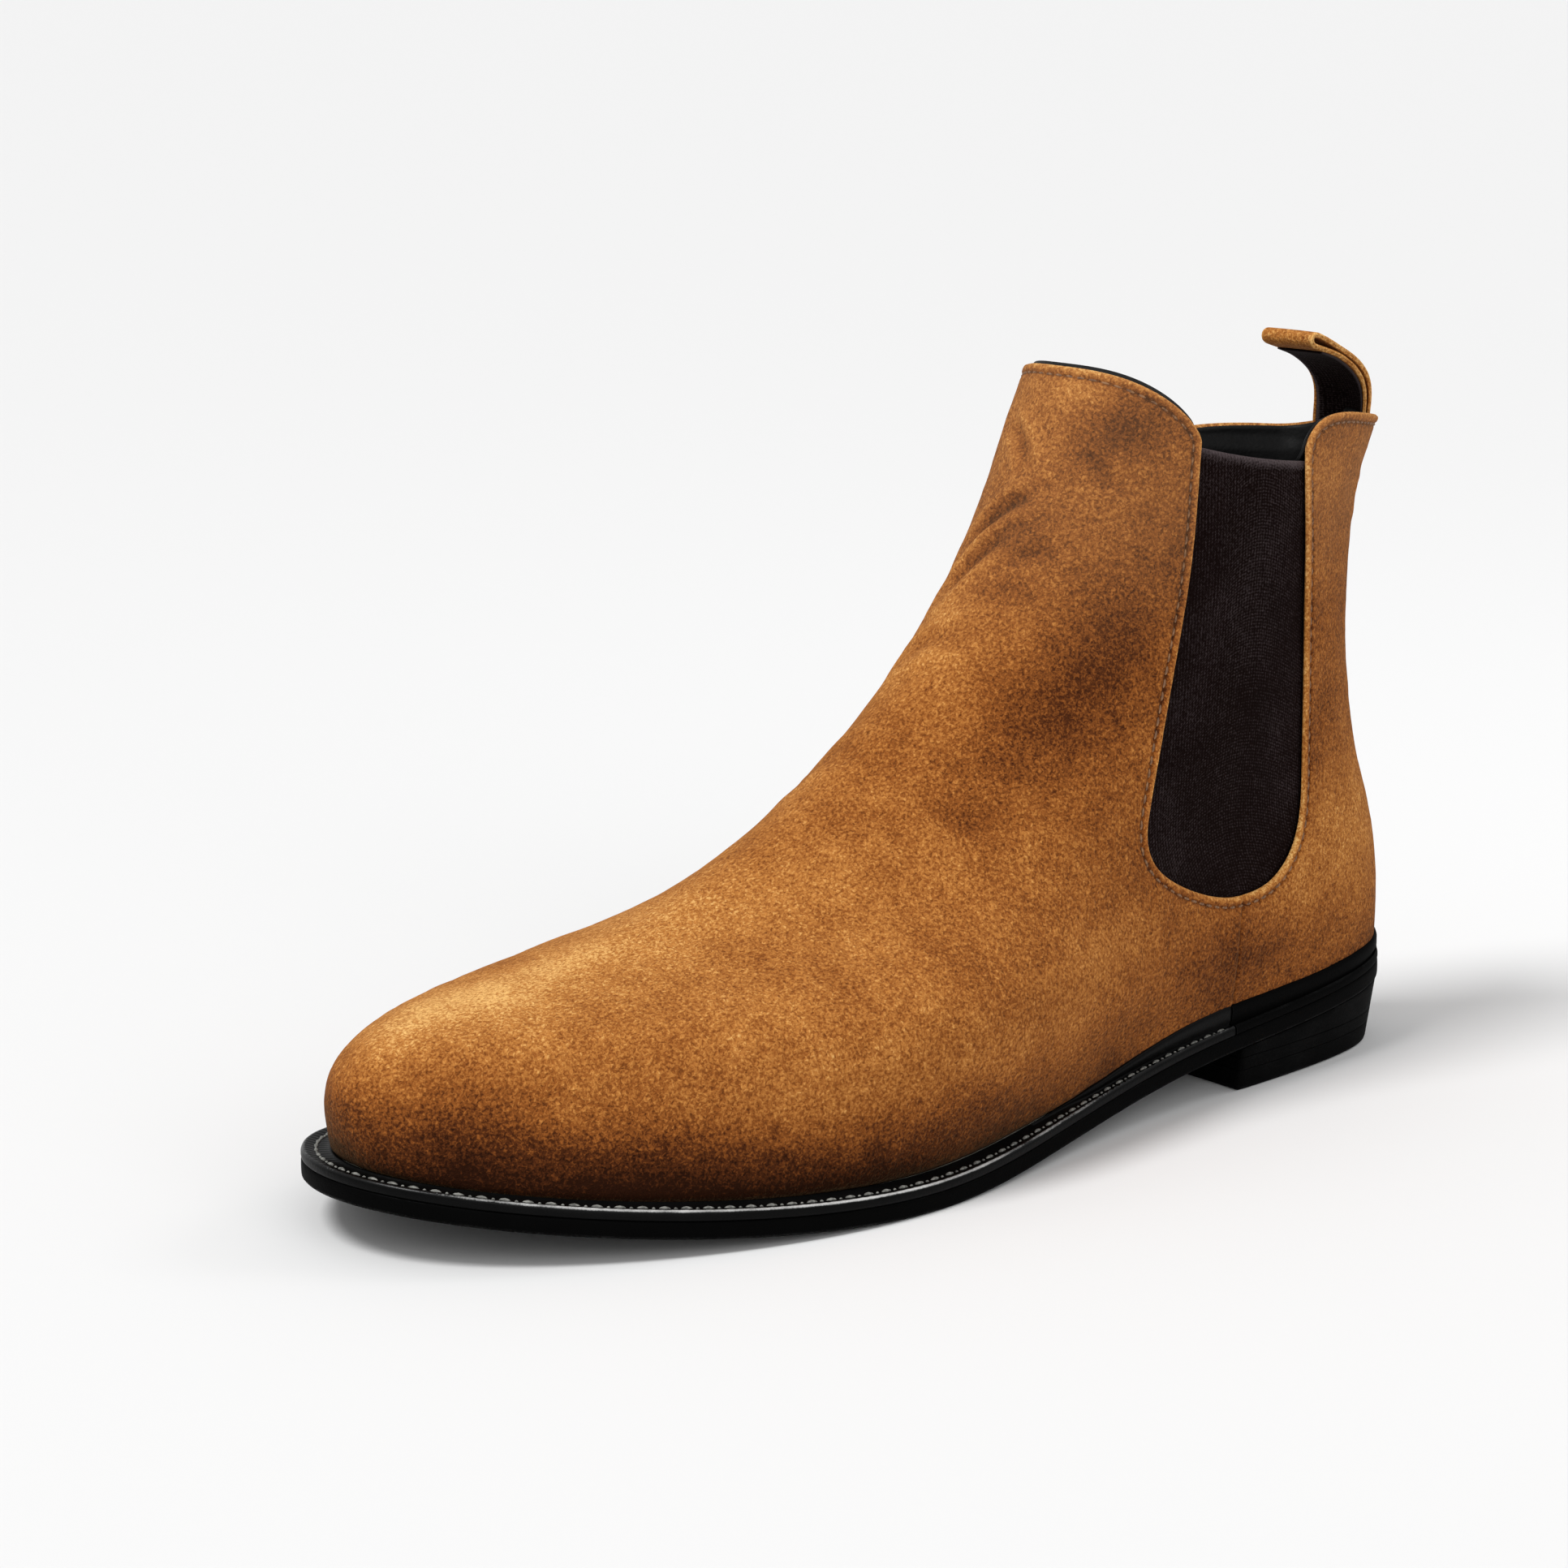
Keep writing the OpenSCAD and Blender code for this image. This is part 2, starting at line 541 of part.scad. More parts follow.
module topline_stitches() {
    color("saddlebrown") {
        sew([for (k = [0 : 40]) let (p = 0.94 * spread(2 * k / 40 - 1), v = vamp_top(p) - 0.2)
                on_skin(p * gore_front(v), v)],
            upper_pitch, UPPER_STITCH, STITCH_SINK);
        sew([for (k = [0 : 40]) let (p = 0.94 * spread(2 * k / 40 - 1), v = quarter_top(p) - 0.2)
                on_skin(BACK + p * (BACK - gore_back(v)), v)],
            upper_pitch, UPPER_STITCH, STITCH_SINK);
    }
}
// The side seams are closed from behind, so their thread lies on the suede's inner face.
module side_seam_stitches() {
    color("saddlebrown")
        for (u = [SEAM_U, COLS - SEAM_U])
            sew([for (k = [0 : 12]) on_skin(u, mix(0.3, GORE_BOTTOM - 0.3, k / 12))],
                upper_pitch, SEAM_STITCH, suede_t + 0.1);
}
module pull_loop_stitches() {
    color("saddlebrown")
        for (side = [1, -1])
            sew([for (k = [0 : 20])
                    let (t = mix(LOOP_START + 0.04, 0.88, k / 20), q = path_at(t), n = path_side(t),
                         f = q + n * (leg_gap / 2 + strap_t + layer_clear + ribbon_t))
                    [[f.x, side * (strap_w / 2 - 2.6), f.y], [n.x, 0, n.y]]],
                upper_pitch, LOOP_STITCH, STITCH_SINK);
}

outsole();
welt();
heel_rand();
heel_lift_upper();
heel_lift_lower();
heel_top_piece();
heel_nails();
top_piece_nails();
insole();
insole_rib();
cork_filler();
shank();
sock_lining();
vamp();
quarter();
lateral_gore();
medial_gore();
vamp_lining();
quarter_lining();
toe_puff();
heel_counter();
pull_loop();
pull_loop_ribbon();
pull_loop_anchor();
welt_stitches();
inseam_stitches();
lateral_gore_stitches();
medial_gore_stitches();
topline_stitches();
side_seam_stitches();
pull_loop_stitches();
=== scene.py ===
"""The looks of a chelsea boot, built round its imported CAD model.

Shapes are worked out in millimetres on the same last as the CAD part: a net of rings from the
feather line, where the upper meets the welt, up to the topline. A place on the upper is given by
its column u (0 at the front, 9 at the back, lateral side first) and its level v (0 at the feather
line, 9 at the topline). Meshes are made in metres.
"""

import math

import bpy
import numpy as np
from mathutils import Matrix, Vector


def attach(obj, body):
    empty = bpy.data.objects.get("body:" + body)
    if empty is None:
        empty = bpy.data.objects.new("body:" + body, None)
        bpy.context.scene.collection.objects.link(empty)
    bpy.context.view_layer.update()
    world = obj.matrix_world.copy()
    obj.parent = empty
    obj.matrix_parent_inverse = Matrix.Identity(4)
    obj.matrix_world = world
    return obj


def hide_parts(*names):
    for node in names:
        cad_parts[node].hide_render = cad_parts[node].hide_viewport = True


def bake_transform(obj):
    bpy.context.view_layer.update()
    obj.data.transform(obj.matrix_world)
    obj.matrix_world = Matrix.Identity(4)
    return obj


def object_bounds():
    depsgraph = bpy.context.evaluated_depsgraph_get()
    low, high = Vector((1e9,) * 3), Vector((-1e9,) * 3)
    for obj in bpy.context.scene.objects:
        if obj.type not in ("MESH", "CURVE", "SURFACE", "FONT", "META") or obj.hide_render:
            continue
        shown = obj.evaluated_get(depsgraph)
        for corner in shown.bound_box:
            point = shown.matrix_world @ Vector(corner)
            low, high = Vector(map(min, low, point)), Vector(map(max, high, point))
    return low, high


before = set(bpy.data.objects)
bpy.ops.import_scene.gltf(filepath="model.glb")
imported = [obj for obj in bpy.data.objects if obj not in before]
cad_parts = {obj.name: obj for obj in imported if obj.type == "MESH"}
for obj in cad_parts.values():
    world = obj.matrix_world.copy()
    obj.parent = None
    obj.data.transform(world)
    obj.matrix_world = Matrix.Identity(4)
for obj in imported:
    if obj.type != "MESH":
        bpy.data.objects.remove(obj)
CAD_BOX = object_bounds()
MM = 0.001
COLLECTION = bpy.context.scene.collection

# ---- the last and the sole ----

OUTSOLE_T = 4.0
WELT_T = 2.4
EDGE_T = OUTSOLE_T + WELT_T
WELT_W = 6.5
SEAT_GAP = 0.3
TOE_SPRING, TOE_X = 11.5, 266.0
BALL_X, BREAST_X = 150.0, 36.0
BREAST_H, SEAT_SLOPE = 10.5, 0.09
TOP_PIECE_T = 5.0
LIFT_SPLIT = TOP_PIECE_T + 3.2
HEEL_TAPER, HEEL_INSET = 2.5, 0.35
HEEL_STEPS = 240
HEEL_U0 = 6.48

# Control points of the sole's outline, seen from above: toe, lateral side, heel, medial side.
SOLE_PTS = np.array([
    [270, -5], [263, 17], [240, 37], [200, 54], [153, 60], [106, 45], [58, 33], [12, 31],
    [-25, 23], [-37, 0], [-25, -23], [12, -31], [58, -27], [106, -27], [153, -42],
    [200, -56], [240, -48], [261, -28]], float)
COLS = len(SOLE_PTS)
BACK = COLS // 2
# Welt width at each control point, as a share of the forepart's.
WELT_SHARE = np.array([1, 1, 1, 1, 1, 0.75, 0.45, 0.3, 0.22, 0.22, 0.22, 0.3, 0.45, 0.75,
                       1, 1, 1, 1])[:, None]
# Rings of the upper: [back x, back z, front x, front z, share of the sole's bend, half-widths, trim],
# with the half-widths at these shares of the ring's length. The trim is the share by which the
# medial side is narrower, from the trimmed station to the back.
STATIONS = [0.975, 0.905, 0.78, 0.627, 0.476, 0.32, 0.17, 0.044]
TRIMMED_STATION = 4
RINGS = [
    [-37, 34, 268, 32, 0.95, [14, 30, 46, 52, 44, 34, 31, 23], 0],
    [-37, 46, 260, 44, 0.75, [11, 26, 42, 49, 42, 33, 30.5, 22.5], 0],
    [-33.5, 60, 230, 48, 0.50, [9, 22, 35, 43, 38, 32, 29, 21], 0],
    [-28, 75, 187, 56, 0.30, [8, 19, 30, 36, 35, 32, 27, 18], 0],
    [-25.5, 92, 146.5, 75.5, 0.15, [8, 18, 27, 33, 33, 31, 24.5, 14.5], 0],
    [-25, 110, 114, 100, 0, [9, 18, 26, 30, 30, 28, 22, 12], 0],
    [-26, 126, 91.5, 124.5, 0, [10, 19, 26, 29, 29, 27, 20, 11], 0.06],
    [-29, 139, 79, 148.5, 0, [11, 20, 26, 29, 29, 26, 19, 10], 0.14],
    [-37, 152, 69, 171, 0, [11, 20, 26, 29, 29, 25, 18, 9], 0.24]]
TOP = len(RINGS)
BEND_X = [-50, 20, 58, 106, 153, 200, 239, 280]
BEND_Y = [0, 0, 2.5, 8.5, 8.5, -1.5, -6, -6]
RIDGE_LEAN = 5

SEAM_U = 6.45
GORE_BOTTOM, GORE_BEND = 2.2, 4.2
GORE_TOP_FRONT, GORE_TOP_BACK = 8.38, 8.2
GORE_HIDDEN = 0.32
# A gore's front edge leans back as it rises, and its back edge bows about a middle level.
GORE_FRONT_U, GORE_LEAN = 6.7, 0.405
GORE_BACK_U, GORE_BOW, GORE_MIDDLE = 6.95, 0.06, 3.2
FRONT_TAB, BACK_TAB, MEDIAL_DROP = 0.62, 0.72, 0.42
BACK_DIP = 0.1            # the back tab's dip behind the pull loop, as a share of the tab
LATERAL_CORNER, MEDIAL_CORNER = 8, 2.8  # a high power makes the back tab's corner tight

SUEDE_T = 1.4
GORE_DEPTH, GORE_T = 1.7, 0.9
LINING_DEPTH, LINING_T = 3.1, 0.8


def mix(a, b, t):
    return a + (b - a) * t


def ease(a, b, x):
    t = np.clip((np.asarray(x, float) - a) / (b - a), 0, 1)
    return t * t * (3 - 2 * t)


def bell(x, middle, width):
    return np.exp(-((x - middle) / width) ** 2)


def unit(a):
    return a / np.linalg.norm(a, axis=-1, keepdims=True)


def square_to(t):
    """Unit vectors square to directions in a plane, to their right."""
    return unit(np.stack([t[..., 1], -t[..., 0]], -1))


def run_along(line):
    """Running length along a line of points."""
    return np.concatenate([[0], np.cumsum(np.linalg.norm(np.diff(line, axis=0), axis=1))])


def round_off(edge, radius):
    """How far a rounded rim falls back at a distance from its edge."""
    return radius - np.sqrt(np.maximum(radius ** 2 - np.clip(radius - edge, 0, None) ** 2, 0))


def weights(t):
    """Weights of the uniform cubic B-spline."""
    return ((1 - t) ** 3 / 6, (3 * t ** 3 - 6 * t ** 2 + 4) / 6,
            (-3 * t ** 3 + 3 * t ** 2 + 3 * t + 1) / 6, t ** 3 / 6)


def ring_at(points, u):
    u = np.asarray(u, float)
    j = np.floor(u).astype(int)
    b = weights(u - j)
    return sum(b[k][..., None] * points[(j + k - 1) % len(points)] for k in range(4))


def lift(x):
    """Height of the outsole's underside: toe spring, arch at the waist, seat over the heel."""
    span = BALL_X - BREAST_X
    s = np.clip((BALL_X - x) / span, 0, 1)
    return (TOE_SPRING * np.clip((x - BALL_X) / (TOE_X - BALL_X), 0, None) ** 1.8
            + BREAST_H * (3 * s ** 2 - 2 * s ** 3) + SEAT_SLOPE * span * (s ** 3 - s ** 2)
            + np.clip(BREAST_X - x, 0, None) * SEAT_SLOPE)


def outward(u):
    e = 0.02
    return square_to(ring_at(SOLE_PTS, u + e) - ring_at(SOLE_PTS, u - e))


def plan_at(u, share, inset):
    """The sole's outline, moved in by a share of the welt's width and by a length."""
    u = np.asarray(u, float)
    step = share * WELT_W * ring_at(WELT_SHARE, u) + np.asarray(inset, float)[..., None]
    return ring_at(SOLE_PTS, u) - outward(u) * step


def net_rows():
    n = square_to(np.roll(SOLE_PTS, -1, 0) - np.roll(SOLE_PTS, 1, 0))
    plan = SOLE_PTS - n * WELT_W * WELT_SHARE
    feather = np.column_stack([plan, lift(plan[:, 0]) + EDGE_T + SEAT_GAP])
    rows = [feather]
    for xb, zb, xf, zf, share, widths, trim in RINGS:
        ring = []
        for j in range(COLS):
            side = 0 if j in (0, BACK) else 1 if j < BACK else -1
            k = j - 1 if j < BACK else COLS - 1 - j
            s = 1.0 if j == 0 else 0.0 if j == BACK else STATIONS[k]
            x = mix(xb, xf, s)
            middle = (share * np.interp(x, BEND_X, BEND_Y)
                      - (1 - share) * RIDGE_LEAN * float(ease(90, 250, x)))
            half = widths[k] * (1 - trim * (side < 0 and k >= TRIMMED_STATION)) if side else 0
            ring.append([x, middle + side * half, mix(zb, zf, s)])
        rows.append(np.array(ring))
    first, last = 2 * rows[0] - rows[1], 2 * rows[-1] - rows[-2]
    return feather, np.array([first] + rows + [last])


FEATHER, ROWS = net_rows()


def skin(u, v):
    """The upper's outer surface."""
    u, v = np.broadcast_arrays(np.asarray(u, float), np.asarray(v, float))
    i = np.clip(np.floor(v).astype(int), 0, TOP - 1)
    j = np.floor(u).astype(int)
    b, c = weights(v - i), weights(u - j)
    point = sum((b[m] * c[n])[..., None] * ROWS[i + m, (j + n - 1) % COLS]
                for m in range(4) for n in range(4))
    f = ring_at(FEATHER, u)
    low = np.clip(1 - v, 0, None)
    point[..., 2] += (lift(f[..., 0]) + EDGE_T + SEAT_GAP - f[..., 2]) * low ** 2
    return point


def skin_out(u, v):
    u, v = np.broadcast_arrays(np.asarray(u, float), np.asarray(v, float))
    e = 0.03
    across = skin(u + e, v) - skin(u - e, v)
    rise = skin(u, np.minimum(v + e, TOP)) - skin(u, np.maximum(v - e, 0))
    return unit(np.cross(across, rise))


def under(u, v, depth):
    """A place at a depth below the upper's outer surface."""
    return skin(u, v) - skin_out(u, v) * np.asarray(depth, float)[..., None]


def gore_arc(v, power):
    t = np.clip((GORE_BEND - v) / (GORE_BEND - GORE_BOTTOM), 0, 1)
    return (1 - t ** power) ** (1 / power)


def gore_front(v):
    return SEAM_U - (SEAM_U - (GORE_FRONT_U - GORE_LEAN * v)) * gore_arc(v, 2)


def gore_back(v):
    edge = GORE_BACK_U - GORE_BOW * (v - GORE_MIDDLE) ** 2
    return SEAM_U + (edge - SEAM_U) * gore_arc(v, 3)


def vamp_top(p):
    return GORE_TOP_FRONT + FRONT_TAB * (1 - np.minimum(abs(p), 1) ** 3.4) ** (1 / 1.6)


def quarter_top(p):
    tab = BACK_TAB * (1 - MEDIAL_DROP * ease(0, 0.5, p) - BACK_DIP * np.exp(-(p / 0.22) ** 2))
    power = mix(LATERAL_CORNER, MEDIAL_CORNER, ease(0, 0.4, p))
    return GORE_TOP_BACK + tab * np.sqrt(1 - np.minimum(abs(p), 1) ** power)


# ---- noise and distances ----

def lattice(i, seed):
    h = (i[..., 0] * 374761393 + i[..., 1] * 668265263 + i[..., 2] * 1440662683 + seed * 97531)
    h = ((h ^ (h >> 13)) * 1274126177) & 0xFFFFFFFF
    return ((h ^ (h >> 16)) & 0xFFFF) / 32767.5 - 1


def noise(points, size, seed):
    """Smooth noise between about -1 and 1, with lumps of the given size."""
    total = 0
    for o in (0, 1):
        p = np.asarray(points) / size * 2 ** o + 13.7 * o
        i = np.floor(p).astype(np.int64)
        t = p - i
        t = t * t * (3 - 2 * t)
        value = 0
        for corner in range(8):
            d = np.array([corner & 1, corner >> 1 & 1, corner >> 2])
            share = np.prod(np.where(d, t, 1 - t), axis=-1)
            value = value + share * lattice(i + d, seed + o)
        total = total + value / 2 ** o
    return total


CHUNK = 4000              # points measured at once


def distance_to(points, line):
    """Distance of each point to a polyline."""
    flat = points.reshape(-1, 3)
    a, b = line[:-1], line[1:]
    ab = b - a
    length2 = np.maximum((ab ** 2).sum(1), 1e-12)
    middle = (a + b) / 2
    out = np.empty(len(flat))
    for s in range(0, len(flat), CHUNK):
        p = flat[s:s + CHUNK]
        near = ((p[:, None] - middle[None]) ** 2).sum(-1).argmin(1)
        best = np.full(len(p), 1e9)
        for k in (-1, 0, 1):
            m = np.clip(near + k, 0, len(a) - 1)
            t = np.clip(((p - a[m]) * ab[m]).sum(1) / length2[m], 0, 1)
            best = np.minimum(best, np.linalg.norm(p - a[m] - ab[m] * t[:, None], axis=1))
        out[s:s + CHUNK] = best
    return out.reshape(points.shape[:-1])


# ---- mesh building ----

def make(name, points, faces, material, marks, replaces, body="boot"):
    """A piece of the boot from points in millimetres, riding on a body."""
    mesh = bpy.data.meshes.new(name)
    mesh.from_pydata((np.asarray(points).reshape(-1, 3) * MM).tolist(), [], faces)
    mesh.update()
    for key, value in marks.items():
        value = np.asarray(value, np.float32)
        vectors = value.size == 3 * len(mesh.vertices)
        kind, field = ("FLOAT_VECTOR", "vector") if vectors else ("FLOAT", "value")
        mesh.attributes.new(key, kind, "POINT").data.foreach_set(field, value.ravel())
    mesh.shade_smooth()
    mesh.materials.append(material)
    piece = bpy.data.objects.new(name, mesh)
    COLLECTION.objects.link(piece)
    if body:
        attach(piece, body)
    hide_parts(*replaces)
    return piece


def grid_faces(rows, cols, start=0, flip=False, wrap=False):
    """Quads of a grid with the given numbers of steps; wrap joins the last column to the first."""
    width = cols if wrap else cols + 1
    k, c = np.meshgrid(np.arange(rows), np.arange(cols), indexing="ij")
    d = (c + 1) % width
    quads = np.stack([k * width + c, k * width + d, (k + 1) * width + d, (k + 1) * width + c], -1)
    quads = quads.reshape(-1, 4) + start
    return (quads[:, ::-1] if flip else quads).tolist()


def sheet(outer, inner, step):
    """Points and faces of a closed sheet. The inner face uses every step-th grid line only."""
    rows, cols = outer.shape[0] - 1, outer.shape[1] - 1
    low = inner[::step, ::step]
    r, c = low.shape[0] - 1, low.shape[1] - 1
    base = (rows + 1) * (cols + 1)
    faces = grid_faces(rows, cols) + grid_faces(r, c, base, flip=True)
    loop = ([(0, i) for i in range(cols)] + [(i, cols) for i in range(rows)]
            + [(rows, i) for i in range(cols, 0, -1)] + [(i, 0) for i in range(rows, 0, -1)])
    loop.append(loop[0])
    for s in range(0, len(loop) - 1, step):
        part = loop[s:s + step + 1]
        rim = [k * (cols + 1) + i for k, i in reversed(part)]
        back = [base + (k // step) * (c + 1) + i // step for k, i in (part[0], part[-1])]
        faces.append(rim + back)
    return np.concatenate([outer.reshape(-1, 3), low.reshape(-1, 3)]), faces


def both(value, step):
    """A mark's values for the points of a sheet."""
    tail = value.shape[2:]
    return np.concatenate([value.reshape((-1,) + tail), value[::step, ::step].reshape((-1,) + tail)])


def lengths(points, axis):
    """Running length along a grid's rows or columns."""
    step = np.linalg.norm(np.diff(points, axis=axis), axis=-1)
    pad = [(0, 0), (0, 0)]
    pad[axis] = (1, 0)
    return np.cumsum(np.pad(step, pad), axis=axis)


# ---- materials ----

class Shader:
    """A node-based material round one Principled BSDF."""

    def __init__(self, name):
        self.material = bpy.data.materials.new(name)
        self.material.use_nodes = True
        self.tree = self.material.node_tree
        self.tree.nodes.clear()
        self.surface = self.tree.nodes.new("ShaderNodeBsdfPrincipled")
        out = self.tree.nodes.new("ShaderNodeOutputMaterial")
        self.tree.links.new(self.surface.outputs[0], out.inputs["Surface"])
        self.place = self.add("TexCoord", out="Object")

    def put(self, socket, value):
        if isinstance(value, bpy.types.NodeSocket):
            self.tree.links.new(value, socket)
        elif value is not None:
            socket.default_value = value

    def add(self, kind, out=0, props=None, **inputs):
        node = self.tree.nodes.new("ShaderNode" + kind)
        for key, value in (props or {}).items():
            setattr(node, key, value)
        for key, value in inputs.items():
            key = int(key[1:]) if key[0] == "_" else key.replace("_", " ")
            self.put(node.inputs[key], value)
        return node.outputs[out]

    def mark(self, name, out="Fac"):
        return self.add("Attribute", out=out, props={"attribute_name": name})

    def maths(self, operation, a, b=0.0, c=0.0):
        return self.add("Math", props={"operation": operation}, _0=a, _1=b, _2=c)

    def total(self, *terms):
        """Sum of (socket, factor) pairs and plain numbers."""
        result = 0.0
        for term in terms:
            if isinstance(term, tuple):
                result = self.maths("MULTIPLY_ADD", term[0], term[1], result)
            else:
                result = self.maths("ADD", result, term)
        return result

    def noise(self, size_mm, detail=3.0, roughness=0.6, distortion=0.0, stretch=None):
        """Noise centred on 0, with lumps of about the given size."""
        vector = self.place
        if stretch:
            vector = self.add("Mapping", Vector=vector, Rotation=stretch[0], Scale=stretch[1])
        value = self.add("TexNoise", Vector=vector, Scale=1 / (size_mm * MM), Detail=detail,
                         Roughness=roughness, Distortion=distortion)
        return self.maths("SUBTRACT", value, 0.5)

    def ramp(self, value, stops):
        node = self.tree.nodes.new("ShaderNodeValToRGB")
        self.put(node.inputs[0], value)
        ramp = node.color_ramp
        while len(ramp.elements) < len(stops):
            ramp.elements.new(0.5)
        for element, (place, colour) in zip(ramp.elements, stops):
            element.position = place
            element.color = (*colour, 1)
        return node.outputs[0]

    def tint(self, colour, other, share):
        return self.add("Mix", 2, {"data_type": "RGBA"}, _0=share, _6=colour, _7=(*other, 1))

    def bump(self, height, depth_mm, strength=1.0):
        return self.add("Bump", Height=height, Distance=depth_mm * MM, Strength=strength)

    def finish(self, colour, roughness, normal=None, **others):
        if isinstance(colour, tuple):
            colour = (*colour, 1)
        others.update(Base_Color=colour, Roughness=roughness, Normal=normal)
        for key, value in others.items():
            self.put(self.surface.inputs[key.replace("_", " ")], value)
        return self.material


def suede_material(name, lightness=0.0):
    """Napped suede: flecks of light and dark fibre, brushed patches, rubbed rims and a soft sheen;
    the panels' tone mark adds painted light and shade, the groove mark painted shade along the
    stitch rows, and a tint makes the shaft paler and greyer."""
    s = Shader(name)
    fleck = s.noise(0.7, 3.0, 0.6, 0.6)
    clump = s.noise(2.4, 2.0, 0.5, 0.5)
    patch = s.noise(30, 3.0, 0.55, 0.3)
    streak = s.noise(8, 2.0, 0.5, 0.4, stretch=((0.2, 0.5, 0.4), (1, 0.45, 1)))
    # Besides the nap's own tone, the tone from the panels' marks paints light and shade, and the
    # groove mark paints shade along the stitch rows.
    tone = s.total((fleck, 1.15), (clump, 0.2), (patch, 0.3), (streak, 0.2),
                   (s.mark("painted_light_and_tone"), 0.3), (s.mark("rim"), 0.26), (s.mark("groove"), -0.26),
                   0.475 + lightness)
    colour = s.ramp(tone, [(0.0, (0.022, 0.006, 0.002)), (0.25, (0.088, 0.024, 0.006)),
                           (0.5, (0.27, 0.083, 0.016)), (0.75, (0.52, 0.21, 0.048)),
                           (1.0, (0.86, 0.50, 0.17))])
    # Paler and greyer up the shaft, towards the topline.
    colour = s.tint(colour, (0.5, 0.33, 0.19), s.maths("MULTIPLY", s.mark("pale_tint_up_shaft"), 0.08))
    height = s.total((fleck, 1.0), (clump, 0.8))
    normal = s.bump(height, 0.6, 0.9)
    return s.finish(colour, 0.95, normal, Specular_IOR_Level=0.06, Sheen_Weight=0.13,
                    Sheen_Roughness=0.35, Sheen_Tint=(1.0, 0.62, 0.3, 1))


def elastic_material(name):
    """Fine woven elastic: ribs along the gore, crossed by a closer weft."""
    s = Shader(name)
    cloth = s.mark("fabric", out="Vector")
    rib = s.add("TexWave", out="Fac", props={"bands_direction": "X"}, Vector=cloth, Scale=0.33,
                Distortion=0.4, Detail=1.0)
    weft = s.add("TexWave", out="Fac", props={"bands_direction": "Y"}, Vector=cloth, Scale=0.42,
                 Distortion=0.8, Detail=1.0)
    fuzz = s.noise(0.5, 2.0)
    # The rim mark lightens the elastic: a painted highlight on a gore's hem bead, and lighter edges
    # on the pull loop's ribbon.
    tone = s.total((rib, 0.12), (weft, 0.12), (fuzz, 0.7), (s.noise(18), 0.25),
                   (s.mark("rim"), 0.8), 0.38)
    colour = s.ramp(tone, [(0.0, (0.004, 0.0017, 0.0015)), (0.5, (0.0050, 0.0019, 0.0015)),
                           (1.0, (0.070, 0.054, 0.056))])
    normal = s.bump(s.total((rib, 0.4), (weft, 0.4), (fuzz, 0.6)), 0.2, 0.6)
    return s.finish(colour, 0.9, normal, Specular_IOR_Level=0.03, Sheen_Weight=0.02,
                    Sheen_Roughness=0.4, Sheen_Tint=(0.6, 0.45, 0.42, 1))


def leather_material(name, dark, light, roughness, grain_mm=0.7, depth_mm=0.08, specular=0.1,
                     coat=0.0, scratch=0.0, painted_highlight=None):
    """Smooth leather with a fine grain and uneven polish; scratches run along the sole's edge.
    The wear mark adds wear and polish, and paints a highlight where a highlight colour is given.
    """
    s = Shader(name)
    grain = s.add("TexVoronoi", out="Distance", Vector=s.place, Scale=1 / (grain_mm * MM))
    cloud = s.noise(12, 3.0)
    fine = s.noise(0.4, 2.0)
    lines = s.noise(1.2, 3.0, stretch=((0, 0, 0), (0.06, 0.06, 1)))
    tone = s.total((cloud, 0.7), (fine, 0.35), (s.mark("wear_and_highlight"), 0.6), (lines, scratch), 0.3)
    # Where the wear mark is high, the colour runs up to the painted highlight colour if one is given.
    colour = s.ramp(tone, [(0.0, dark), (0.62, light), (1.0, painted_highlight or light)])
    height = s.total((grain, -0.7), (fine, 0.4), (lines, scratch * 2))
    rough = s.total((cloud, 0.25), (lines, scratch * 0.6), roughness)
    polish_and_highlight = s.maths("MULTIPLY", s.mark("wear_and_highlight"), s.total((fine, 1.2), (cloud, 1.0), coat))
    return s.finish(colour, rough, s.bump(height, depth_mm, 0.8), Specular_IOR_Level=specular,
                    Coat_Weight=polish_and_highlight, Coat_Roughness=0.25)


def thread_material(name, colour, light):
    s = Shader(name)
    twist = s.add("TexWave", out="Fac", props={"bands_direction": "DIAGONAL"}, Vector=s.place,
                  Scale=520.0, Distortion=0.5)
    tone = s.total((twist, 0.5), (s.noise(2.0), 0.8), 0.25)
    return s.finish(s.ramp(tone, [(0, colour), (1, light)]), 0.6, s.bump(twist, 0.1, 0.6))


def metal_material(name, colour, roughness):
    s = Shader(name)
    lines = s.noise(0.6, 2.0, stretch=((0, 0, 0), (1, 0.1, 1)))
    rough = s.total((lines, 0.3), roughness)
    dull = tuple(0.75 * c for c in colour)
    tone = s.total((s.noise(4.0), 1.0), 0.5)
    return s.finish(s.ramp(tone, [(0, dull), (1, colour)]), rough, s.bump(lines, 0.02),
                    Metallic=1.0)


def speckled_material(name, low, high, size_mm, roughness, depth_mm):
    """Cork granules, board or canvas: lumps of two colours."""
    s = Shader(name)
    cells = s.add("TexVoronoi", out="Color", Vector=s.place, Scale=1 / (size_mm * MM))
    grain = s.add("TexVoronoi", out="Distance", Vector=s.place, Scale=1 / (size_mm * MM))
    tone = s.total((s.maths("ADD", cells, 0.0), 0.6), (s.noise(size_mm * 5), 0.6), 0.1)
    return s.finish(s.ramp(tone, [(0, low), (1, high)]), roughness,
                    s.bump(s.total((grain, -1.0)), depth_mm))


SUEDE = suede_material("suede")
SUEDE_PALE = suede_material("suede_strap", 0.08)
ELASTIC = elastic_material("elastic")
LINING = leather_material("lining", (0.003,) * 3, (0.010,) * 3, 0.55, 0.9, 0.1, specular=0.12)
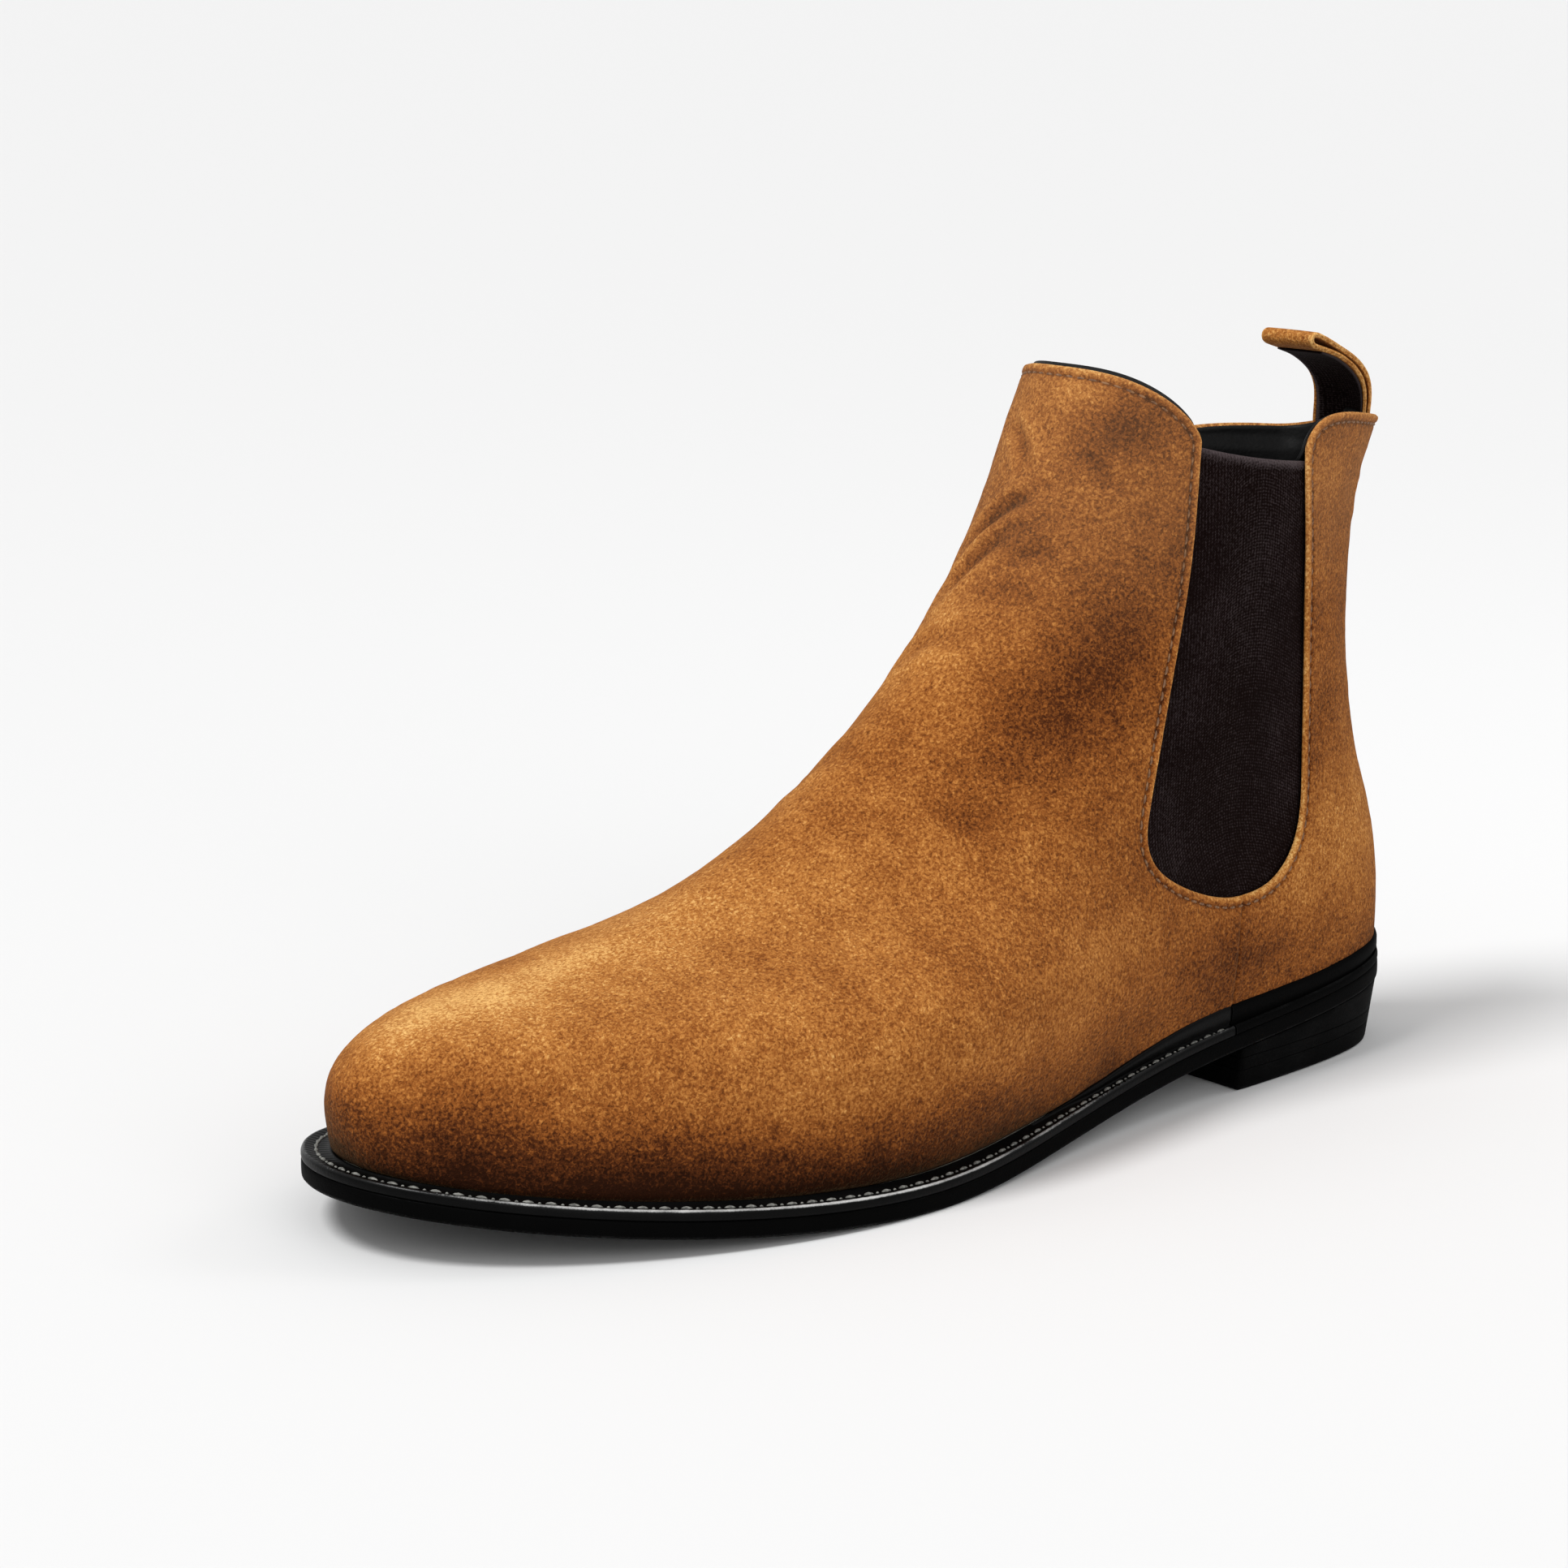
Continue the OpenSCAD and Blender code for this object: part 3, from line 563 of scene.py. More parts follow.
# The welt's pale edge colour is a painted highlight along its top outer edge.
WELT = leather_material("welt_leather", (0.0012,) * 3, (0.004,) * 3, 0.4, 0.8, 0.05,
                        specular=0.05, coat=0.8, scratch=0.2, painted_highlight=(0.5, 0.5, 0.49))
SOLE = leather_material("sole_leather", (0.0006,) * 3, (0.0018,) * 3, 0.65, 0.6, 0.06,
                        specular=0.02, coat=0.08, scratch=0.2)
RUBBER = leather_material("heel_rubber", (0.0006,) * 3, (0.0025,) * 3, 0.7, 1.1, 0.05,
                          specular=0.02, coat=0.06, scratch=0.15)
WELT_THREAD = thread_material("welt_thread", (0.05, 0.05, 0.045), (0.32, 0.32, 0.29))
TONAL_THREAD = thread_material("upper_thread", (0.07, 0.025, 0.01), (0.33, 0.16, 0.06))
STEEL = metal_material("steel", (0.56, 0.56, 0.57), 0.3)
BRASS = metal_material("brass", (0.78, 0.58, 0.25), 0.35)
CORK = speckled_material("cork", (0.16, 0.08, 0.03), (0.5, 0.32, 0.16), 2.2, 0.9, 0.4)
BOARD = speckled_material("stiffener", (0.5, 0.46, 0.38), (0.75, 0.7, 0.6), 0.8, 0.8, 0.1)
INSOLE = leather_material("insole_leather", (0.30, 0.17, 0.08), (0.55, 0.36, 0.2), 0.6, 0.9, 0.1)

# ---- suede panels ----

STEP = 3                  # the hidden inner faces use every third grid line
LOW_ROWS, ARC_ROWS, HIGH_ROWS = 54, 66, 108
RIM_R = 0.65
STITCH_D = 2.3            # distance of the stitch rows from an edge
SEAM_DEPTH = 0.25
TUCK_V = 0.1              # the suede tucks in under this level, behind the welt
EDGE_STEPS = 260
FOLD_PAINTED_SHADE = 0.5          # painted shade in a crease's groove, painted light on its ridges
# Painted shade over the forepart's lower part and just above the welt all round, and painted light
# where the nap faces up.
FORE_PAINTED_SHADE, LOW_PAINTED_SHADE, TOP_PAINTED_LIGHT = 1.4, 0.6, 0.75
# Creases in the shaft, each between two places: [u, v, u, v, depth, half-width].
CREASES = [[-1.0, 7.2, 0.8, 7.85, 1.3, 1.6], [-1.0, 6.8, 0.6, 7.45, 1.2, 1.7],
           [-0.9, 8.45, 0.3, 8.0, 0.9, 1.5], [-0.9, 6.3, 0.6, 6.55, 0.7, 2.3],
           [0.5, 7.1, 1.6, 7.35, 0.5, 1.6], [-0.4, 5.5, 1.2, 5.4, 0.4, 3.0],
           [2.2, 5.1, 3.2, 4.7, 0.35, 3.0], [-1.6, 5.2, -0.4, 5.5, 0.4, 3.0],
           [8.8, 7.2, 9.9, 7.35, 0.6, 2.0], [7.9, 7.55, 8.7, 7.3, 0.5, 1.7],
           [1.2, 8.2, 2.4, 7.9, 0.5, 1.8]]
# Patches of brushed nap and of painted light and shade: [u, v, reach in u, reach in v, tone], light
# above 0.
PATCHES = [[-0.4, 1.6, 0.7, 0.7, -0.2], [0.0, 3.2, 1.2, 1.0, 0.65], [1.5, 1.0, 0.9, 0.7, -0.35],
           [3.7, 0.9, 1.2, 0.9, 0.3], [4.7, 1.1, 0.9, 0.6, 0.3], [5.4, 2.2, 0.5, 0.9, 0.3],
           [2.8, 5.7, 1.2, 0.9, -0.6], [2.0, 8.5, 0.8, 0.36, -0.6], [1.5, 8.3, 0.7, 0.3, -0.4],
           [0.3, 7.5, 0.9, 0.4, -0.5], [6.5, 1.0, 0.7, 0.6, -0.6], [7.6, 2.5, 0.8, 1.4, 0.55],
           [6.3, 8.1, 0.5, 0.4, 0.4], [0.8, 8.8, 0.8, 0.25, 0.3], [3.6, 6.0, 0.8, 1.2, -0.3],
           [8.6, 8.2, 0.5, 0.5, -0.2], [3.0, 3.0, 1.3, 1.0, -0.3], [0.5, 5.1, 1.4, 0.9, -0.4],
           [2.75, 6.4, 0.8, 0.6, -0.3], [0.8, 6.9, 0.8, 0.5, -0.4], [2.5, 0.3, 1.2, 0.45, -0.33],
           [4.7, 0.3, 1.3, 0.5, -0.4], [7.25, 5.5, 0.5, 1.5, -0.2]]


def spread(s):
    """Steps that crowd towards both ends of -1 to 1."""
    return mix(s, np.sin(np.pi / 2 * s), 0.6)


def levels(v_top):
    """Levels of a panel's rows, up to the topline at each column."""
    low = GORE_BOTTOM * np.arange(LOW_ROWS) / LOW_ROWS
    t = np.arange(ARC_ROWS) / ARC_ROWS
    arc = GORE_BOTTOM + (GORE_BEND - GORE_BOTTOM) * (1 - np.cos(np.pi / 2 * t))
    up = spread(np.arange(HIGH_ROWS + 1) / HIGH_ROWS)
    high = GORE_BEND + (v_top[None] - GORE_BEND) * up[:, None]
    flat = np.concatenate([low, arc])[:, None] + 0 * v_top[None]
    return np.concatenate([flat, high])


def vamp_grid(cols):
    p = spread(np.linspace(-1, 1, cols + 1))
    v = levels(vamp_top(p))
    return p[None] * gore_front(v), v


def quarter_grid(cols):
    p = spread(np.linspace(-1, 1, cols + 1))
    v = levels(quarter_top(p))
    return BACK + p[None] * (BACK - gore_back(v)), v


def edge_places(front):
    """Places along a panel's free edge: up one gore, over the tab and down the other gore."""
    t = np.linspace(0, 1, EDGE_STEPS)
    turn = GORE_BEND + (GORE_TOP_FRONT - GORE_BEND) * np.clip(2 * t - 1, 0, 1)
    low = GORE_BOTTOM + (GORE_BEND - GORE_BOTTOM) * (1 - np.cos(np.pi * t))
    v = np.where(t < 0.5, low, turn)
    p = np.sin(np.pi / 2 * np.linspace(1, -1, EDGE_STEPS)) * (1 if front else -1)
    if front:
        gore_edge, turn_u, tab_v = gore_front, 0, vamp_top(p)
        tab_u = p * gore_front(tab_v)
    else:
        v = np.minimum(v, GORE_TOP_BACK)
        gore_edge, turn_u, tab_v = gore_back, COLS, quarter_top(p)
        tab_u = BACK + p * (BACK - gore_back(tab_v))
    first = np.stack([gore_edge(v), v], -1)
    last = np.stack([turn_u - gore_edge(v), v], -1)[::-1]
    places = np.concatenate([first, np.stack([tab_u, tab_v], -1)[1:], last[1:]])
    return places[np.insert(np.linalg.norm(np.diff(places, axis=0), axis=1) > 1e-6, 0, True)]


def line_of(places, depth=0.0):
    return under(places[:, 0], places[:, 1], depth + 0 * places[:, 0])


def creases(points):
    total = 0
    for u0, v0, u1, v1, depth, width in CREASES:
        t = np.linspace(0, 1, 24)
        line = skin(mix(u0, u1, t), mix(v0, v1, t) + 0.05 * np.sin(5 * t + u0))
        ends = line[[0, -1]]
        span = np.linalg.norm(ends[1] - ends[0])
        d = distance_to(points, line)
        near = np.minimum(np.linalg.norm(points - ends[0], axis=-1),
                          np.linalg.norm(points - ends[1], axis=-1))
        fade = ease(0, 0.35 * span, near)
        total = total + fade * depth * (0.55 * bell(d, 2.3 * width, width) - bell(d, 0, width))
    return total


def nap_tone_and_painted_light(u, v, points, normal):
    """Tone of the nap: patches of brushed nap and of painted light and shade, painted shade
    towards the welt, and painted light where the surface faces up.
    """
    wrapped = np.where(u > COLS / 2 + 3, u - COLS, u)
    tone = 0
    for pu, pv, du, dv, value in PATCHES:
        tone = tone + value * np.exp(-((wrapped - pu) / du) ** 2 - ((v - pv) / dv) ** 2)
    height = points[..., 2] - lift(points[..., 0]) - EDGE_T
    soft = noise(points, 30, 41)
    forepart = ease(100, 190, points[..., 0])
    # Painted shade: darker low on the forepart and just above the welt.
    low = forepart * FORE_PAINTED_SHADE * (1 - ease(-4, 21, height + 2 * soft))
    low = low + LOW_PAINTED_SHADE * (1 - ease(0, 9, height + 3 * soft))
    # Painted light where the surface faces up, with a soft random tone.
    return tone - low + TOP_PAINTED_LIGHT * np.clip(normal[..., 2], 0, 1) ** 1.3 + 0.10 * soft


def suede_panel(name, grid, front, replaces):
    u, v = grid
    base, normal = skin(u, v), skin_out(u, v)
    edge = distance_to(base, line_of(edge_places(front)))
    seam_v = np.linspace(0, GORE_BOTTOM, 60)
    seam = np.minimum(distance_to(base, skin(SEAM_U, seam_v)),
                      distance_to(base, skin(COLS - SEAM_U, seam_v)))
    rounding = round_off(edge, RIM_R)
    inside = ease(0.5, 4, edge)
    folds = creases(base)
    relief = (0.22 * noise(base, 17, 1) + 0.10 * noise(base, 6, 2)) * inside
    relief = relief + 0.03 * noise(base, 1.7, 3) + folds * inside
    relief = relief + 0.16 * bell(edge, 1.0, 0.8) - 0.34 * bell(edge, STITCH_D, 0.5)
    relief = relief - SEAM_DEPTH * bell(seam, 0, 0.5) + 0.08 * bell(seam, 1.4, 1.0)
    tuck = np.clip(1 - v / TUCK_V, 0, 1) ** 2
    outer = base + normal * (relief - rounding - 0.9 * tuck)[..., None]
    outer[..., 2] -= 0.3 * tuck
    inner = base - normal * (SUEDE_T - rounding)[..., None]
    inner[..., 2] = np.maximum(inner[..., 2], lift(inner[..., 0]) + EDGE_T + 0.05)
    points, faces = sheet(outer, inner, STEP)
    # The nap's tone with painted light and shade, plus painted shade in the creases' grooves and
    # painted light on their ridges.
    marks = {"painted_light_and_tone": nap_tone_and_painted_light(u, v, base, normal) + FOLD_PAINTED_SHADE * folds,
             # The groove mark is painted shade along the stitch rows.
             "rim": bell(edge, 0, 1.0), "groove": bell(edge, STITCH_D, 0.45),
             "pale_tint_up_shaft": ease(5.8, 7.8, v)}
    marks = {key: both(value, STEP) for key, value in marks.items()}
    return make(name, points, faces, SUEDE, marks, replaces)


suede_panel("vamp_suede", vamp_grid(300), True, ["vamp", "side_seam_stitches"])
suede_panel("quarter_suede", quarter_grid(180), False, ["quarter"])

# ---- gores ----

RIB_PITCH = 1.25
HEM_MM = 1.6              # height of the bound hem at a gore's top


def gore(name, side, replaces):
    cols, rows = 234, 120
    s = np.linspace(0, 1, cols + 1)[None]
    t = np.linspace(0, 1, rows + 1)[:, None] ** 1.25
    v_top = mix(GORE_TOP_FRONT, GORE_TOP_BACK, s) - 0.2 * s * (1 - s)
    v = mix(GORE_BOTTOM - 0.3, v_top, t)
    u = mix(gore_front(v) - GORE_HIDDEN, gore_back(v) + GORE_HIDDEN, s)
    if side < 0:
        u, v = COLS - u[:, ::-1], v[:, ::-1]
    base, normal = skin(u, v), skin_out(u, v)
    across = lengths(base, 1)
    across = across - across[:, cols // 2][:, None]
    up = lengths(base, 0)
    from_top = up[-1][None] - up
    hem = 0.45 * bell(from_top, HEM_MM / 2, HEM_MM / 2) - 0.25 * bell(from_top, 2.2, 0.4)
    rib = 0.025 * np.cos(2 * np.pi * across / RIB_PITCH) * ease(2.2, 3.5, from_top)
    end = round_off(from_top, RIM_R)
    sag = 0.25 * noise(base, 22, 7)
    depth = GORE_DEPTH - rib - hem - 0.5 * sag
    outer = base - normal * (depth + 0.6 * end)[..., None]
    inner = base - normal * (GORE_DEPTH + GORE_T - 0.3 * end)[..., None]
    points, faces = sheet(outer, inner, STEP)
    fabric = np.stack([across, up, 0 * up], -1)
    # The rim mark paints a highlight along the hem's bead at the gore's top.
    marks = {"fabric": both(fabric, STEP), "rim": both(bell(from_top, 0.5, 0.7), STEP)}
    return make(name, points, faces, ELASTIC, marks, replaces)


gore("lateral_gore_elastic", 1, ["lateral_gore"])
gore("medial_gore_elastic", -1, ["medial_gore"])

# ---- linings ----

STRAP_ROOM = 6.2          # the quarter's lining stands this deep where it covers the strap's ends
LINING_R = 0.4


def lining(name, grid, front, proud, replaces):
    """Lining leather. Above the gores it closes up to the suede, and it ends a little past it."""
    u, v = grid
    base, normal = skin(u, v), skin_out(u, v)
    edge = distance_to(base, line_of(edge_places(front)))
    gore_top = GORE_TOP_FRONT if front else GORE_TOP_BACK
    close = ease(gore_top - 0.05, gore_top + 0.2, v) * (1 - ease(2, 14, edge))
    depth = mix(LINING_DEPTH, SUEDE_T + 0.1, close)
    if not front:
        room = (1 - ease(8.5, 13, abs(base[..., 1]))) * ease(136, 148, base[..., 2])
        depth = mix(depth, STRAP_ROOM, room)
    rounding = round_off(edge, LINING_R)
    soft = 0.2 * noise(base, 20, 11) * ease(3, 12, edge)
    outer = base - normal * (depth + rounding + soft)[..., None]
    inner = base - normal * (depth + LINING_T - rounding + soft)[..., None]
    rise = np.diff(base, axis=0, prepend=base[:1])
    rise = rise / np.maximum(np.linalg.norm(rise, axis=-1, keepdims=True), 1e-9)
    reach = (proud * (1 - ease(0, 3, edge)) * ease(gore_top, gore_top + 0.15, v))[..., None]
    outer, inner = outer + rise * reach, inner + rise * reach
    # The lowest rows stay above the insole's edge.
    floor_z = np.where(v > 0.12, -np.inf, lift(base[..., 0]) + EDGE_T + 0.5)
    for face in (outer, inner):
        face[..., 2] = np.maximum(face[..., 2], floor_z)
    points, faces = sheet(outer, inner, 1)
    marks = {"wear_and_highlight": both(bell(edge, 0, 0.7) * 0.8, 1)}
    return make(name, points, faces, LINING, marks, replaces)


def thinned(grid, rows, cols):
    """A coarser choice of a grid's lines that keeps its ends."""
    u, v = grid
    r = np.unique(np.linspace(0, u.shape[0] - 1, rows + 1).round().astype(int))
    c = np.unique(np.linspace(0, u.shape[1] - 1, cols + 1).round().astype(int))
    return u[np.ix_(r, c)], v[np.ix_(r, c)]


lining("vamp_lining_leather", thinned(vamp_grid(300), 114, 150), True, 1.1, ["vamp_lining"])
lining("quarter_lining_leather", thinned(quarter_grid(180), 114, 120), False, -0.5,
       ["quarter_lining"])

# ---- sole, welt and heel ----

SOLE_STEPS = 1400         # points round the sole, about 0.5 mm apart
CAP_COLS = 22
STITCH_PITCH = 4.8


def sole_ring(u, share, inset, height):
    """A ring round the sole at a height above its underside."""
    q = plan_at(u, share, inset)
    return np.column_stack([q, lift(q[:, 0]) + height])


def cap(ring, start, first, height, flip):
    """Fills a ring with strips from its lateral to its medial side. Gives new points and faces."""
    n = len(ring)
    half = n // 2
    t = np.linspace(0, 1, CAP_COLS + 1)[1:-1]
    a, b = ring[1:half], ring[n - 1:half:-1]
    inner = a[:, None] + (b - a)[:, None] * t[None, :, None]
    inner[..., 2] = lift(inner[..., 0]) + height
    width = CAP_COLS - 1
    number = np.empty((half - 1, CAP_COLS + 1), int)
    number[:, 0] = start + np.arange(1, half)
    number[:, -1] = start + np.arange(n - 1, half, -1)
    number[:, 1:-1] = first + np.arange((half - 1) * width).reshape(half - 1, width)
    faces = np.stack([number[:-1, :-1], number[1:, :-1], number[1:, 1:], number[:-1, 1:]],
                     -1).reshape(-1, 4).tolist()
    faces.append([start] + number[0].tolist())
    faces.append([start + half] + number[-1][::-1].tolist())
    if flip:
        faces = [f[::-1] for f in faces]
    return inner.reshape(-1, 3), faces


def outsole():
    u = np.arange(SOLE_STEPS) * COLS / SOLE_STEPS
    # Corners of the edge, from below to above: inset and height.
    profile = [(5.6, 0), (5.2, 0.3), (4.8, 0), (1.0, 0.0), (0.35, 0.12), (0.06, 0.4), (0, 0.8),
               (-0.03, 2.0), (0, 3.3), (0.1, 3.75), (0.35, 3.97), (3.0, 3.98)]
    rings = [sole_ring(u, 0, inset + 0 * u, height) for inset, height in profile]
    points = np.concatenate(rings)
    faces = grid_faces(len(rings) - 1, SOLE_STEPS, wrap=True)
    low, low_faces = cap(rings[0], 0, len(points), 0, False)
    last = (len(rings) - 1) * SOLE_STEPS
    high, high_faces = cap(rings[-1], last, len(points) + len(low), profile[-1][1], True)
    points = np.concatenate([points, low, high])
    wear_and_highlight = np.zeros(len(points))
    wear_and_highlight[SOLE_STEPS * 4:SOLE_STEPS * 6] = 0.8
    wear_and_highlight[SOLE_STEPS * 10:SOLE_STEPS * 11] = 0.5
    return make("outsole_leather", points, faces + low_faces + high_faces, SOLE, {"wear_and_highlight": wear_and_highlight},
                ["outsole"])


LIP_H, LIP_T = 4.6, 0.9   # the lip that stands against the upper from the waist backwards


def lip_lines(u):
    """Lines up the lip: its hidden inner edge, its rounded top and its outer face."""
    v = np.linspace(0, 1.6, 33)
    grid_v, grid_u = np.meshgrid(v, u, indexing="ij")
    place = skin(grid_u, grid_v)
    rise = place[..., 2] - place[:1, :, 2]
    x = place[0, :, 0]
    full = LIP_H * (1 - ease(45, 112, x)) * (1 - 0.18 * (1 - ease(0, 45, x)))
    thick = LIP_T * ease(0, 1.5, full)
    lines = []
    for share, out in ((1.0, -0.35), (1.0, 0.3), (0.93, 0.75), (0.75, 1.0), (0.25, 1.1)):
        level = np.array([np.interp(full[i] * share, rise[:, i], v) for i in range(len(u))])
        away = thick * out if out > 0 else -0.35 + 0 * thick
        lines.append(skin(u, level) + skin_out(u, level) * away[:, None])
    return lines


def rim_strip(name, u, top, material, replaces, stitched):
    """Welt or rand: a closed profile swept round the sole from one end to the other."""
    n = len(u)
    run = run_along(sole_ring(u, 0.5, 0 * u, 0))
    notch = 0.14 * (0.5 + 0.5 * np.cos(2 * np.pi * run / STITCH_PITCH * 2)) if stitched else 0
    groove = 0.32 if stitched else 0.0
    base = OUTSOLE_T + 0.03
    # Corners of the profile: share of the welt's width, inset and height.
    profile = [(1, 0.9, top), (1, -0.5, top), (0.66, 0, top - 0.05), (0.5, 0, top - groove),
               (0.34, 0, top - 0.03), (0.16, 0, top + 0.12), (0, 0.62, top + 0.04),
               (0, 0.3, top - 0.22), (0, 0.1, top - 0.62), (0, 0.0, top - 1.0),
               (0, -0.02, base + 0.7), (0, 0.05, base + 0.3), (0, 0.3, base + 0.05),
               (0, 0.8, base), (1, 0.9, base)]
    rings = []
    for k, (share, inset, height) in enumerate(profile):
        dip = notch if 1 < k < 6 else 0
        rings.append(sole_ring(u, share, inset + 0 * u, height - dip))
    lip = lip_lines(u)
    rings = rings[:1] + lip + rings[1:]
    points = np.concatenate(rings)
    count = len(rings)
    k, c = np.meshgrid(np.arange(count), np.arange(n - 1), indexing="ij")
    d = (k + 1) % count
    faces = np.stack([k * n + c, d * n + c, d * n + c + 1, k * n + c + 1], -1).reshape(-1, 4)
    # On the welt this paints a highlight along the top outer edge, strongest on the forepart; on both
    # strips it adds coat polish.
    polish_and_highlight = 0.35 + 0.65 * ease(70, 150, rings[0][:, 0]) * (1 - ease(235, 262, rings[0][:, 0]))
    wear_and_highlight = np.concatenate([polish_and_highlight if 6 <= k - len(lip) <= 7 else np.zeros(n) for k in range(count)])
    first = list(range(0, count * n, n))
    last = [k + n - 1 for k in first[::-1]]
    return make(name, points, faces.tolist() + [first, last], material, {"wear_and_highlight": wear_and_highlight}, replaces)


def heel_loop(z, extra):
    """The heel block's outline at a height, drawn in by an extra length; it starts at the breast."""
    u = np.linspace(HEEL_U0, COLS - HEEL_U0, HEEL_STEPS)
    q = plan_at(u, 0, 0 * u)
    q[:, 0] = np.minimum(q[:, 0], BREAST_X)
    away = unit(q)
    high = np.minimum(z, lift(q[:, 0]) - 0.02)
    draw = HEEL_TAPER * (1 - np.clip(high / lift(q[:, 0]), 0, 1)) + HEEL_INSET + extra
    at_breast = q[:, 0] >= BREAST_X - 0.01
    q = q - np.stack([np.where(at_breast, extra, away[:, 0] * draw), away[:, 1] * draw], 1)
    t = np.linspace(-1, 1, 41)[1:-1]
    edge = np.stack([q[-1, 0] - 1.2 * (1 - t ** 2), mix(q[-1, 1], q[0, 1], (t + 1) / 2)], 1)
    loop = np.concatenate([q, edge])
    height = np.minimum(z, lift(loop[:, 0]) - 0.02)
    return np.column_stack([loop, height])


def heel_block(name, z0, z1, material, replaces):
    """One layer of the heel, with softly rounded edges."""
    foot = z0 < 0.5
    r = 0.9 if foot else 0.22
    low = [(z0 + 0.03, r * 1.6), (z0 + 0.03, r * 0.9), (z0 + 0.1 * r + 0.03, r * 0.5),
           (z0 + 0.4 * r, 0.16 * r), (z0 + r, 0)]
    high = [(z1 - 0.22, 0), (z1 - 0.08, 0.08), (z1 - 0.01, 0.25), (z1 - 0.01, 0.8)]
    middle = [(z, 0) for z in np.linspace(z0 + r, min(z1, 22) - 0.22, 6)[1:-1]]
    loops = [heel_loop(z, extra) for z, extra in low + middle + high]
    n = len(loops[0])
    points = np.concatenate(loops)
    faces = grid_faces(len(loops) - 1, n, wrap=True)
    faces.append(list(range(n))[::-1])
    faces.append([(len(loops) - 1) * n + k for k in range(n)])
    wear_and_highlight = np.concatenate([np.full(n, 0.9 if 1 <= k <= 3 and foot else 0.15)
                           for k in range(len(loops))])
    return make(name, points, faces, material, {"wear_and_highlight": wear_and_highlight}, replaces)


WELT_END_U = 6.42
outsole()
welt_u = np.linspace(-WELT_END_U, WELT_END_U, 1101)
rim_strip("welt_strip", welt_u, EDGE_T, WELT, ["welt"], True)
rand_u = np.linspace(WELT_END_U + 0.01, COLS - WELT_END_U - 0.01, 401)
rim_strip("heel_rand_strip", rand_u, EDGE_T, SOLE, ["heel_rand"], False)
heel_block("top_piece_rubber", 0, TOP_PIECE_T, RUBBER, ["heel_top_piece"])
heel_block("lower_lift_leather", TOP_PIECE_T, LIFT_SPLIT, SOLE, ["heel_lift_lower"])
heel_block("upper_lift_leather", LIFT_SPLIT, 60, SOLE, ["heel_lift_upper"])

# ---- stitches ----

def bead(length, radius, sides=7):
    """A stitch lying along x, flattened, with ends that dip into the leather."""
    points, faces = [[-length / 2, 0, -radius]], []
    places = [-0.9, -0.6, 0, 0.6, 0.9]
    for t in places:
        r = radius * math.sqrt(1 - abs(t) ** 2.5)
        for k in range(sides):
            a = 2 * math.pi * k / sides
            points.append([t * length / 2, r * math.cos(a),
                           0.75 * r * math.sin(a) - 0.6 * radius * t * t])
    points.append([length / 2, 0, -radius])
    last = len(points) - 1
    for ring in range(len(places) - 1):
        for k in range(sides):
            a, b = 1 + ring * sides + k, 1 + ring * sides + (k + 1) % sides
            faces.append([a, b, b + sides, a + sides][::-1])
    for k in range(sides):
        faces.append([0, 1 + k, 1 + (k + 1) % sides][::-1])
        base = last - sides
        faces.append([last, base + (k + 1) % sides, base + k][::-1])
    return np.array(points), faces


def stitches(line, normals, pitch, shape, lift_mm=0.0, start=0.5, wander=0.0):
    """Copies of a bead at even spacing along a line, each turned to the line and its normal."""
    run = run_along(line)
    at = (np.arange(int(run[-1] / pitch)) + start) * pitch
    at = at[at < run[-1] - 0.3 * pitch]
    pick = lambda values, s: np.stack([np.interp(s, run, values[:, k]) for k in range(3)], -1)
    along = pick(line, at + 0.4) - pick(line, at - 0.4)
    up = pick(normals, at)
    side, along = unit(np.cross(up, along)), unit(along)
    up = np.cross(along, side)
    turn = wander * np.sin(at * 12.9898)[:, None]
    along, side = along + side * turn, side - along * turn
    template, faces = shape
    points = (pick(line, at)[:, None] + template[None, :, :1] * along[:, None]
              + template[None, :, 1:2] * side[:, None]
              + (template[None, :, 2:] + lift_mm) * up[:, None])
    n = len(template)
    all_faces = [[i + k * n for i in f] for k in range(len(at)) for f in faces]
    return points.reshape(-1, 3), all_faces


def inset_line(front, inset):
    """Places a distance inside a panel's free edge, found by stepping across the edge."""
    places = edge_places(front)
    u, v = places.T
    line = line_of(places)
    along = np.gradient(line, axis=0)
    normals = skin_out(u, v)
    inward = unit(np.cross(normals, along) * (1 if front else -1))
    e = 0.01
    du = (skin(u + e, v) - skin(u - e, v)) / (2 * e)
    top = np.minimum(v + e, TOP)
    dv = (skin(u, top) - skin(u, v - e)) / (top - v + e)[:, None]
    a, b, c = (du * du).sum(1), (du * dv).sum(1), (dv * dv).sum(1)
    p, q = (inward * du).sum(1), (inward * dv).sum(1)
    det = a * c - b * b
    step = np.stack([(p * c - q * b) / det, (q * a - p * b) / det], -1)
    moved = places + step * inset
    far = distance_to(line_of(moved), line)
    return moved[far > 0.9 * inset]


UPPER_PITCH, UPPER_SINK = 3.0, 0.25
for side_name, front, nodes in (("front", True, ["lateral_gore_stitches", "topline_stitches"]),
                                ("back", False, ["medial_gore_stitches"])):
    row = inset_line(front, STITCH_D)
    points, faces = stitches(line_of(row, UPPER_SINK), skin_out(row[:, 0], row[:, 1]), UPPER_PITCH,
                             bead(2.3, 0.34), wander=0.06)
    make(f"{side_name}_edge_stitches", points, faces, TONAL_THREAD, {}, nodes)
welt_line = sole_ring(welt_u, 0.5, 0 * welt_u, EDGE_T - 0.28)
up = np.tile([0.0, 0.0, 1.0], (len(welt_line), 1))
points, faces = stitches(welt_line, up, STITCH_PITCH, bead(2.7, 0.52), 0.1)
dots, dot_faces = stitches(welt_line, up, STITCH_PITCH, bead(0.8, 0.34), 0.02, start=1.0)
